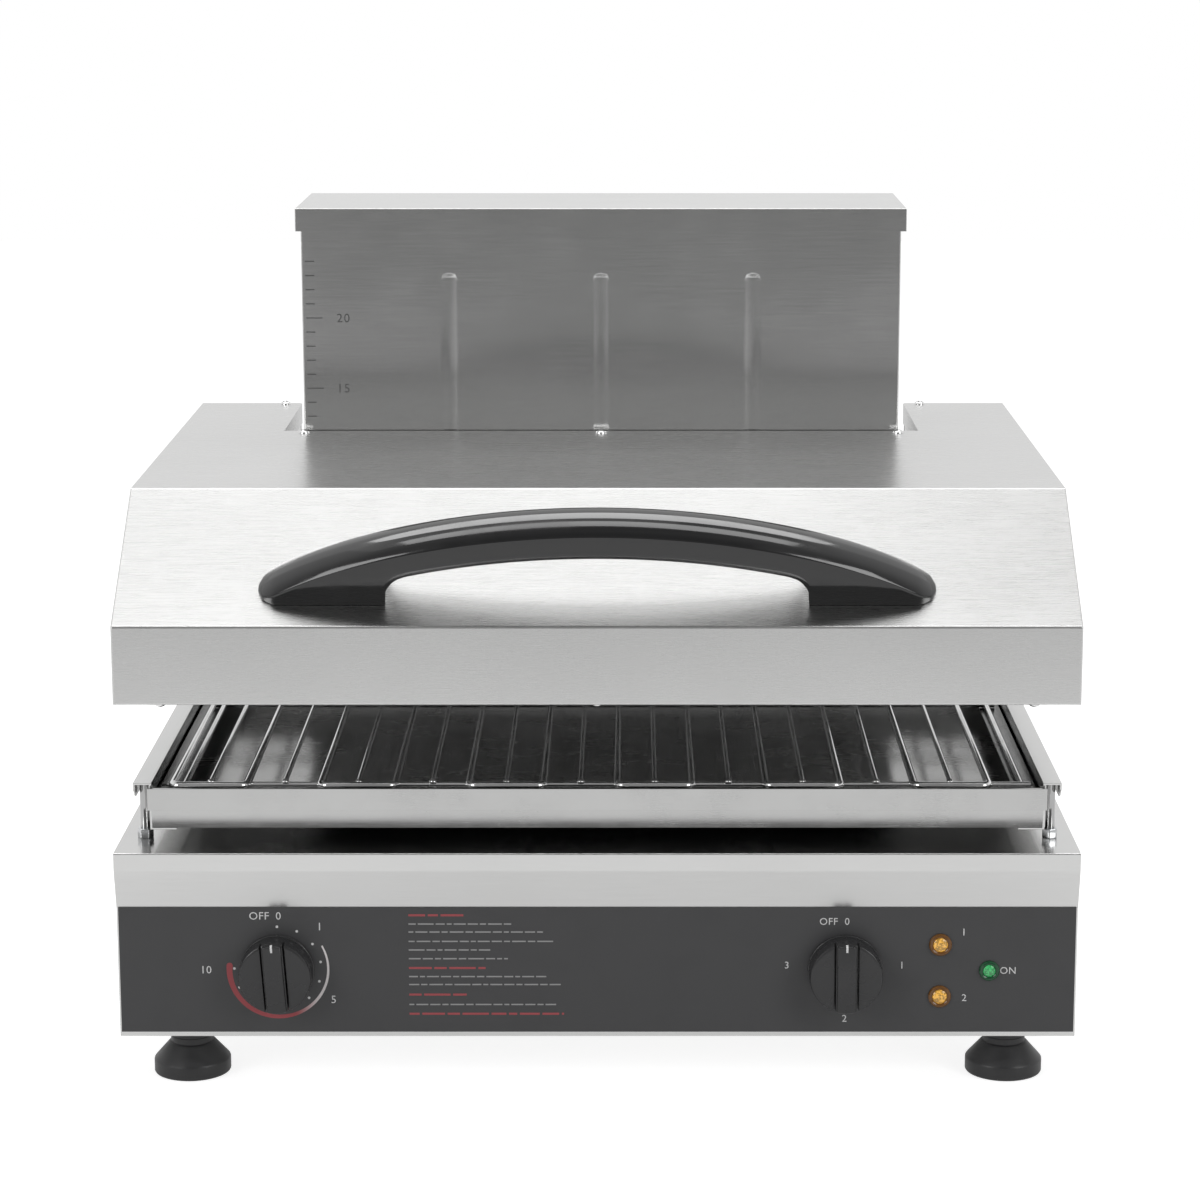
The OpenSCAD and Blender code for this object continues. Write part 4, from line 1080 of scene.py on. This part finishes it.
class GRILL_OT_rack(bpy.types.Operator):
    """Bends and welds the wire rack"""
    bl_idname = "grill.rack"
    bl_label = "Wire rack"

    def execute(self, context):
        s = context.scene.grill_rack
        low, high = low_high("wire_rack")
        bar_z, frame_z = high.z - 0.35 - s.bar / 2, low.z + s.side / 2
        last = s.bars - 1
        first = low.x + 4.5
        pitch = s.pitch
        front, rear, cross = -204.0, 85.0, -189.5

        def bar_x(i):
            return first + i * pitch

        snake = [(bar_x(0), rear, bar_z)]
        for i in range(0, last + 1, 4):
            snake += corner(bar_x(i), front, 1, 1, s.bend, bar_z)
            snake += list(reversed(corner(bar_x(i + 2), front, -1, 1, s.bend, bar_z)))
            if i + 4 <= last:
                snake += corner(bar_x(i + 2), rear, 1, -1, s.bend, bar_z)
                snake += list(reversed(corner(bar_x(i + 4), rear, -1, -1, s.bend, bar_z)))
        snake.append((bar_x(last), rear, bar_z))
        parts = [wire(snake, s.bar / 2, stout=lambda p: 1.5 if p[1] < cross - 9 else 1.0)]
        for i in range(1, last, 2):
            parts.append(wire([(bar_x(i), cross - 3, bar_z), (bar_x(i), rear - 6, bar_z)], s.bar / 2))
        for x in (first + 6, 267.5):
            parts.append(wire([(x, cross + 1, frame_z), (x, rear - 4, frame_z)], s.side / 2))
        crossing = (cross, rear - 58, rear - 9)
        for y in crossing:
            parts.append(wire([(low.x, y, frame_z), (high.x, y, frame_z)], s.side / 2))
        bpy.ops.mesh.primitive_ico_sphere_add(subdivisions=2, radius=1)
        bead = bpy.context.object
        bead.scale = (2.5 * MM, 2.6 * MM, 1.5 * MM)
        fixed(bead)
        for i in range(1, last, 2):
            parts.append(copy_at(bead, Matrix.Translation(
                Vector((bar_x(i), cross - 2.6, bar_z - 0.2)) * MM)))
        for i in range(0, last + 1):
            for y in crossing[1:]:
                parts.append(copy_at(bead, Matrix.Translation(
                    Vector((bar_x(i), y, (bar_z + frame_z) / 2)) * MM) @ Matrix.Scale(0.75, 4)))
        drop(bead)
        piece(joined(parts), "welded_rack", "rack", "bright_wire", finishes()["bright_wire"],
              "wire_rack", angle=60)
        return {"FINISHED"}


# ---- controls -------------------------------------------------------------

def knob(s, place, turn, name, body, node, pointer):
    """A round knob: two flat lands beside a raised grip bar, with a slot at each side of it."""
    r, half, slot = s.knob / 2, s.grip / 2, 1.3
    dial = turned([(r - 0.6, 0.5), (r, 1.1), (r, 2.2), (r - 0.5, 2.6), (r - 0.9, s.land - 1.4),
                   (r - 1.25, s.land - 0.5), (r - 2.0, s.land - 0.08), (r - 3.0, s.land)], 96)
    slots = [block(side * half + min(0, side * slot), side * half + max(0, side * slot),
                   -r - 2, r + 2, s.land - 7, s.land + 4) for side in (-1, 1)]
    for cutter in slots:
        apply_modifier(dial, "BOOLEAN", object=cutter, operation="DIFFERENCE", solver="EXACT")
    drop(*slots)
    soften(dial, 0.3, 2, 50)
    bpy.ops.mesh.primitive_cylinder_add(
        vertices=96, radius=(r - 0.95) * MM, depth=(s.reach - 2) * MM,
        location=(0, 0, (s.reach + 2) / 2 * MM))
    grip = fixed(bpy.context.object)
    edit(grip)
    for side in (-1, 1):
        bpy.ops.mesh.select_all(action="SELECT")
        bpy.ops.mesh.bisect(plane_co=(side * half * MM, 0, 0), plane_no=(side, 0, 0),
                            use_fill=True, clear_outer=True)
    pick(grip, "VERT", lambda c, v: c.z > s.reach - 0.01)
    bpy.ops.transform.resize(value=(0.88, 0.97, 1), center_override=(0, 0, s.reach * MM))
    pick(grip, "EDGE", lambda c, e: all(v.co.z / MM > s.reach - 0.01 for v in e.verts))
    bpy.ops.mesh.bevel(offset=1.4 * MM, segments=4, clamp_overlap=True)
    leave()
    mark = copy_at(grip, Matrix.Diagonal((1, 1.004, 1.003, 1)))
    edit(mark)
    for place_at, way in (((-0.65, 0, 0), (-1, 0, 0)), ((0.65, 0, 0), (1, 0, 0)),
                          ((0, r - 5.6, 0), (0, -1, 0)), ((0, 0, s.reach - 3), (0, 0, -1))):
        bpy.ops.mesh.select_all(action="SELECT")
        bpy.ops.mesh.bisect(plane_co=Vector(place_at) * MM, plane_no=way, use_fill=True,
                            clear_outer=True)
    leave()
    shape = joined([dial, grip])
    face = Matrix.Translation(Vector(place) * MM) @ Matrix.Rotation(math.pi / 2, 4, "X") @ \
        Matrix.Rotation(-turn, 4, "Z")
    shape.data.transform(face)
    piece(shape, name, body, "black_gloss", finishes()["knob_skin"], node, angle=35)
    mark.data.transform(face)
    piece(mark, pointer, body, "panel_print", finishes()["white_ink"])


class GRILL_OT_knobs(bpy.types.Operator):
    """Moulds the timer knob and the selector knob"""
    bl_idname = "grill.knobs"
    bl_label = "Knobs"

    def execute(self, context):
        s = context.scene.grill_control
        knob(s, knob_place("timer_knob"), s.turn, "timer_dial", "timer", "timer_knob",
             "timer_pointer")
        knob(s, knob_place("selector_knob"), 0.0, "selector_dial", "selector", "selector_knob",
             "selector_pointer")
        return {"FINISHED"}


class GRILL_OT_lenses(bpy.types.Operator):
    """Cuts the faceted lenses and their rims"""
    bl_idname = "grill.lenses"
    bl_label = "Lamp lenses"

    def execute(self, context):
        made = finishes()
        for node, slot, name in (("lamp_lens_upper", "lens_amber", "upper_lens"),
                                 ("lamp_lens_lower", "lens_amber", "lower_lens"),
                                 ("lamp_lens_on", "lens_green", "power_lens")):
            low, high = low_high(node)
            r = (high.x - low.x) / 2
            face = Matrix.Translation(Vector(((low.x + high.x) / 2, FILM_Y, (low.z + high.z) / 2))
                                      * MM) @ Matrix.Rotation(math.pi / 2, 4, "X")
            collar = turned([(r - 2.6, 0.0), (r - 0.2, 0.0), (r, 0.5), (r - 0.15, 1.2), (r - 0.7, 1.75),
                             (r - 1.5, 1.9), (r - 2.2, 1.6), (r - 2.6, 1.1), (r - 2.6, 0.0)], 48,
                            closed=True)
            collar.data.transform(face)
            piece(collar, name + "_collar", "base", slot, made[slot + "_deep"])
            bpy.ops.mesh.primitive_ico_sphere_add(subdivisions=3, radius=(r - 2.2) * MM)
            lens = bpy.context.object
            edit(lens)
            bpy.ops.mesh.select_all(action="SELECT")
            bpy.ops.mesh.bisect(plane_co=(0, 0, 0.02 * MM), plane_no=(0, 0, -1), use_fill=True,
                                clear_outer=True)
            leave()
            lens.data.transform(face @ Matrix.Diagonal((1, 1, 0.5, 1)))
            piece(lens, name, "base", slot, made[slot], node, angle=5)
        return {"FINISHED"}


def arc(centre, outer, start, end, width, steps=90):
    """A flat arc, clockwise from the top, whose width changes along it, with a round first end."""
    cx, cz = centre
    bpy.ops.mesh.primitive_plane_add(size=1)
    obj = bpy.context.object
    edit(obj, "EDGE")
    pick(obj, "EDGE", lambda c, e: abs(e.verts[0].co.y - e.verts[1].co.y) < 0.1)
    bpy.ops.mesh.subdivide(number_cuts=steps - 1)
    leave()
    long = outer * math.radians(abs(end - start))
    for v in obj.data.vertices:
        t = max(0.0, v.co.x + 0.5) ** 1.6
        wide, half = width(t), width(0) / 2
        run = long * t
        if run < half:
            wide *= math.sqrt(max(0.0004, 1 - (1 - run / half) ** 2))
        a = math.radians(start + (end - start) * t)
        r = outer - width(t) / 2 + (wide / 2 if v.co.y > 0 else -wide / 2)
        v.co = ((cx + r * math.sin(a)) * MM, 0, (cz + r * math.cos(a)) * MM)
    return obj


class GRILL_OT_panel_print(bpy.types.Operator):
    """Prints the dials, the numbers and the rows of small print on the dark film"""
    bl_idname = "grill.panel_print"
    bl_label = "Panel print"

    def execute(self, context):
        made = finishes()
        face = (0, FILM_Y - 0.01, 0)
        film = from_node("panel_overlay")
        soften(film, 0.15, 1)
        piece(film, "panel_film", "base", "panel_print", made["panel_print"], "panel_overlay",
              weighted=True)
        t = knob_place("timer_knob")
        d = knob_place("selector_knob")
        white = [dot(t.x + 0.4 + 27.2 * math.sin(math.radians(27 * k)),
                     t.z + 1.3 + 27.2 * math.cos(math.radians(27 * k)), 0.85) for k in range(11)]
        white += [word("OFF", t.x - 10.6, t.z + 35.6, 4.9), word("0", t.x + 1.4, t.z + 35.6, 4.9),
                  word("1", t.x + 27, t.z + 28.7, 4.9), word("5", t.x + 35, t.z - 19, 4.9),
                  word("10", t.x - 44, t.z + 0.5, 4.9),
                  word("OFF", d.x - 10.5, d.z + 32, 4.5), word("0", d.x + 1, d.z + 32, 4.5),
                  word("1", d.x + 35.6, d.z + 3.5, 4.5), word("2", d.x, d.z - 31.4, 4.5),
                  word("3", d.x - 36.5, d.z + 3.5, 4.5),
                  word("1", 229, 98.4, 4.5), word("2", 230, 55.5, 4.5), word("ON", 257, 73.3, 4.5)]
        red, small = [], []
        rows = [(109.3, 35, 1), (103.6, 66, 0), (98.4, 84, 0), (92.3, 92, 0), (86.7, 51, 0),
                (81.0, 62, 0), (74.9, 48, 1), (69.3, 88, 0), (64.1, 95, 0), (57.5, 36, 1),
                (51.0, 92, 0), (44.9, 97, 1)]
        lengths = (7.0, 4.2, 9.5, 5.1, 11.0, 6.2, 3.4, 8.3)
        for n, (z, width, heading) in enumerate(rows):
            x, end, k = -118.0, -118.0 + width, n * 3
            high = 1.35 if heading else 0.85
            while x < end - 1:
                long = min(lengths[k % len(lengths)] * (1.5 if heading else 0.9), end - x)
                (red if heading else small).append(flat_bar(x, x + long, z - high / 2, z + high / 2))
                x += long + (1.7 if heading else 1.3)
                k += 1
        piece(print_on(white, face), "white_print", "base", "panel_print", made["white_ink"])
        piece(print_on(small, face), "small_print", "base", "panel_print", made["grey_ink"])
        piece(print_on(red, face), "red_print", "base", "panel_print", made["red_ink"])
        sweep = arc((t.x + 0.5, t.z + 0.8), 32.2, 278, 61, lambda u: 3.9 - 2.8 * u ** 0.8)
        piece(print_on([sweep], face), "timer_sweep_print", "base", "panel_print",
              made["fading_ink"])
        return {"FINISHED"}


class GRILL_OT_height_scale(bpy.types.Operator):
    """Etches the height scale on the tower's front"""
    bl_idname = "grill.height_scale"
    bl_label = "Height scale"

    def execute(self, context):
        marks = []
        for i in range(12):
            z = 480.6 - 10 * i
            marks.append(flat_bar(-208.3, -196.6 if i in (4, 9) else -201.9, z - 0.4, z + 0.4))
        marks += [word("20", -182, 440.6, 6.2, 1.15), word("15", -182, 390.6, 6.2, 1.15)]
        piece(print_on(marks, (0, TOWER_Y - 0.01, 0)), "height_scale", "base", "stainless_sheet",
              finishes()["etched_mark"])
        return {"FINISHED"}


# ---- feet and small mouldings ---------------------------------------------

class GRILL_OT_feet(bpy.types.Operator):
    """Turns the four levelling feet"""
    bl_idname = "grill.feet"
    bl_label = "Levelling feet"

    def execute(self, context):
        pad = turned([(20.5, 0.0), (22.9, 0.0), (23.7, 0.35), (24.2, 1.2), (24.2, 8.4), (24.0, 9.0),
                      (23.4, 9.8), (14.9, 19.4), (14.2, 20.0), (13.4, 20.3), (13.4, 24.0), (13.0, 24.2),
                      (13.0, 28.4), (12.6, 28.9), (5.0, 29.0), (5.0, 48.0), (4.2, 49.0), (1.0, 49.0)],
                     64)
        for node in ("foot_front_left", "foot_front_right", "foot_rear_left", "foot_rear_right"):
            low, high = low_high(node)
            foot = copy_at(pad, Matrix.Translation(
                Vector(((low.x + high.x) / 2, (low.y + high.y) / 2, 0)) * MM))
            piece(foot, node.replace("foot", "pad"), node, "black_moulding",
                  finishes()["black_moulding"], node, angle=28)
        drop(pad)
        return {"FINISHED"}


class GRILL_OT_ropes(bpy.types.Operator):
    """Hangs the rope runs between the pulleys and what moves on them"""
    bl_idname = "grill.ropes"
    bl_label = "Rope runs"

    def execute(self, context):
        for node, body, name in (("cable_front_runs", "hood", "front_ropes"),
                                 ("cable_rear_runs", "weight", "rear_ropes")):
            low, high = low_high(node)
            r, y, crimp = (high.y - low.y) / 2, (low.y + high.y) / 2, low.z + 12
            run = turned([(r, low.z), (r + 1, low.z + 0.4), (r + 1, crimp - 0.8), (r, crimp),
                          (r, high.z)], 16)
            ropes = set_down(run, [(low.x + r, y, 0), (high.x - r, y, 0)])
            drop(run)
            piece(ropes, name, None, "wire_rope", finishes()["wire_rope"], node, angle=40)
            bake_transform(ropes)
        return {"FINISHED"}


class GRILL_OT_cable_entry(bpy.types.Operator):
    """Snaps in the ribbed bush of the cable entry"""
    bl_idname = "grill.cable_entry"
    bl_label = "Cable entry"

    def execute(self, context):
        low, high = low_high("cable_gland")
        rear = low_high("base_casing")[1].y
        out, deep = high.y - rear, low.y - rear
        r = (high.x - low.x) / 2
        bush = turned([(4.5, deep), (r - 3.1, deep), (r - 3.1, -0.05), (r, 0.0), (r, out - 2.4),
                       (r - 0.8, out - 1.7), (r - 3.6, out - 1.5), (r - 4.0, out - 0.4),
                       (r - 4.6, out), (5.4, out), (4.5, out - 0.8), (4.5, deep)], 48, closed=True)
        bush.data.transform(
            Matrix.Translation(Vector(((low.x + high.x) / 2, rear, (low.z + high.z) / 2)) * MM)
            @ Matrix.Rotation(-math.pi / 2, 4, "X"))
        piece(bush, "entry_bush", "base", "black_moulding", finishes()["black_moulding"],
              "cable_gland")
        return {"FINISHED"}


class GRILL_OT_inner_parts(bpy.types.Operator):
    """Gives the parts that stay as the CAD made them their finishes"""
    bl_idname = "grill.inner_parts"
    bl_label = "Inner parts"

    def execute(self, context):
        made = finishes()
        for name, obj in NODES.items():
            obj.data.materials.clear()
            obj.data.materials.append(made[SLOT_OF[name]])
        return {"FINISHED"}


# ---- stage ----------------------------------------------------------------

def lamp(name, place, at, wide, high, radiance):
    """A soft rectangular lamp whose face has the given radiance."""
    data = bpy.data.lights.new(name, "AREA")
    data.shape, data.size, data.size_y = "RECTANGLE", wide, high
    data.energy = radiance * math.pi * wide * high
    obj = bpy.data.objects.new(name, data)
    bpy.context.scene.collection.objects.link(obj)
    obj.location = place
    obj.rotation_euler = (Vector(at) - Vector(place)).to_track_quat("-Z", "Y").to_euler()
    return obj


class GRILL_OT_stage(bpy.types.Operator):
    """Sets the pale floor, the soft light and the camera"""
    bl_idname = "grill.stage"
    bl_label = "Stage"

    def execute(self, context):
        self.camera(context)
        self.floor(context)
        self.sky(context)
        lamp("overhead_soft_box", (-0.55, 0.25, 2.3), (-0.55, 0.25, 0), 1.9, 1.5, 0.34)
        lamp("front_strip", (0, -0.44, 2.3), (0, -0.2, 0.3), 2.4, 0.5, 3.3)
        lamp("rear_strip", (0, 0.93, 2.3), (0, -0.2, 0.3), 2.4, 0.65, 3.4)
        lamp("left_soft_box", (-2.0, -1.9, 1.3), (0, -0.2, 0.2), 1.0, 1.4, 4.2)
        lamp("right_soft_box", (2.0, -1.9, 1.3), (0, -0.2, 0.2), 1.0, 1.4, 4.2)
        view = context.scene.view_settings
        view.view_transform = "Standard"
        return {"FINISHED"}

    def camera(self, context):
        data = bpy.data.cameras.new("camera")
        data.sensor_width, data.lens = 36.0, context.scene.grill_stage.lens
        data.shift_x = -29.35 / 1200
        obj = bpy.data.objects.new("camera", data)
        context.scene.collection.objects.link(obj)
        obj.location = (0.020, -2.2473, 0.7295)
        obj.rotation_euler = (math.radians(90 - 11.75), 0, 0)
        context.scene.camera = obj

    def floor(self, context):
        bpy.ops.mesh.primitive_plane_add(size=1, location=(0, 1.4, -0.0003), scale=(9, 7.4, 1))
        obj = bpy.context.object
        obj.scale = (9, 7.4, 1)
        fixed(obj)
        obj.name = "floor"
        made = bpy.data.materials.new("floor")
        made.use_nodes = True
        tree = made.node_tree
        tree.nodes.clear()
        out = add(tree, "ShaderNodeOutputMaterial")
        matte = add(tree, "ShaderNodeBsdfDiffuse")
        matte.inputs["Color"].default_value = (*context.scene.grill_stage.floor, 1)
        glow = add(tree, "ShaderNodeEmission")
        both = add(tree, "ShaderNodeAddShader")
        rays = add(tree, "ShaderNodeLightPath")
        place = add(tree, "ShaderNodeSeparateXYZ")
        link(tree, add(tree, "ShaderNodeTexCoord").outputs["Object"], place.inputs[0])
        seen = maths(tree, "MULTIPLY", rays.outputs["Is Camera Ray"], 0.8)
        near_by = ranged(tree, place.outputs["Y"], -2.1, -0.9, 0.2, 0.44)
        mirrored = maths(tree, "MULTIPLY", rays.outputs["Is Glossy Ray"], near_by)
        link(tree, maths(tree, "ADD", seen, mirrored), glow.inputs["Strength"])
        link(tree, matte.outputs[0], both.inputs[0])
        link(tree, glow.outputs[0], both.inputs[1])
        link(tree, both.outputs[0], out.inputs["Surface"])
        obj.data.materials.append(made)

    def sky(self, context):
        """White behind and above, darker in front, and plain white to the camera."""
        world = bpy.data.worlds.new("studio")
        context.scene.world = world
        world.use_nodes = True
        tree = world.node_tree
        tree.nodes.clear()
        out = add(tree, "ShaderNodeOutputWorld")
        light = add(tree, "ShaderNodeBackground")
        plain = add(tree, "ShaderNodeBackground")
        pick_one = add(tree, "ShaderNodeMixShader")
        way = add(tree, "ShaderNodeSeparateXYZ")
        link(tree, add(tree, "ShaderNodeTexCoord").outputs["Generated"], way.inputs[0])
        low = maths(tree, "ABSOLUTE", maths(tree, "SUBTRACT", way.outputs["Z"], 0.22))
        front = maths(tree, "ADD", ranged(tree, way.outputs["Y"], -0.8, 0.25, 0.2, 0.86), maths(
            tree, "MULTIPLY", ranged(tree, low, 0.06, 0.2, 0.16, 0.0),
            ranged(tree, way.outputs["Y"], -0.92, -0.6, 1.0, 0.0)))
        above = maths(tree, "MULTIPLY", ranged(tree, way.outputs["Z"], 0.15, 0.75, 0.0, 0.76),
                      ranged(tree, way.outputs["Y"], -0.3, 0.1, 0.12, 1.0))
        beside = ranged(tree, maths(tree, "ABSOLUTE", way.outputs["X"]), 0.28, 0.46, 0.0, 0.4)
        level = maths(tree, "MULTIPLY", maths(tree, "MAXIMUM", maths(
            tree, "MAXIMUM", front, above), beside), ranged(
                tree, way.outputs["Z"], 0.8, 0.93, 1.0, 0.57))
        link(tree, level, light.inputs["Strength"])
        link(tree, add(tree, "ShaderNodeLightPath").outputs["Is Camera Ray"], pick_one.inputs[0])
        link(tree, light.outputs[0], pick_one.inputs[1])
        link(tree, plain.outputs[0], pick_one.inputs[2])
        for ground in (light, plain):
            ground.inputs["Color"].default_value = (1, 1, 1, 1)
        link(tree, pick_one.outputs[0], out.inputs["Surface"])


# ---- panel and order of work ----------------------------------------------

STEPS = (
    GRILL_OT_stage, GRILL_OT_inner_parts, GRILL_OT_hood_cover, GRILL_OT_tower,
    GRILL_OT_base_sheets, GRILL_OT_handle, GRILL_OT_screws, GRILL_OT_posts, GRILL_OT_rack,
    GRILL_OT_knobs, GRILL_OT_lenses, GRILL_OT_panel_print, GRILL_OT_height_scale, GRILL_OT_feet,
    GRILL_OT_ropes, GRILL_OT_cable_entry,
)


class GRILL_PT_pieces(bpy.types.Panel):
    """Lists the sizes and the steps of the grill"""
    bl_idname = "GRILL_PT_pieces"
    bl_label = "Lifting grill"
    bl_space_type = "VIEW_3D"
    bl_region_type = "UI"
    bl_category = "Grill"

    def draw(self, context):
        for key, kind in SETTINGS.items():
            box = self.layout.box()
            for name in kind.__annotations__:
                box.prop(getattr(context.scene, key), name)
        for step in STEPS:
            self.layout.operator(step.bl_idname)


CLASSES = (*SETTINGS.values(), *STEPS, GRILL_PT_pieces)


def register():
    for cls in CLASSES:
        bpy.utils.register_class(cls)
    for key, kind in SETTINGS.items():
        setattr(bpy.types.Scene, key, PointerProperty(type=kind))


def unregister():
    for key in SETTINGS:
        delattr(bpy.types.Scene, key)
    for cls in reversed(CLASSES):
        bpy.utils.unregister_class(cls)


def main():
    register()
    for o in list(bpy.data.objects):
        if o.name in ("Cube", "Light", "Camera"):
            bpy.data.objects.remove(o)
    for step in STEPS:
        group, name = step.bl_idname.split(".")
        getattr(getattr(bpy.ops, group), name)()
    only()


if __name__ == "__main__":
    main()
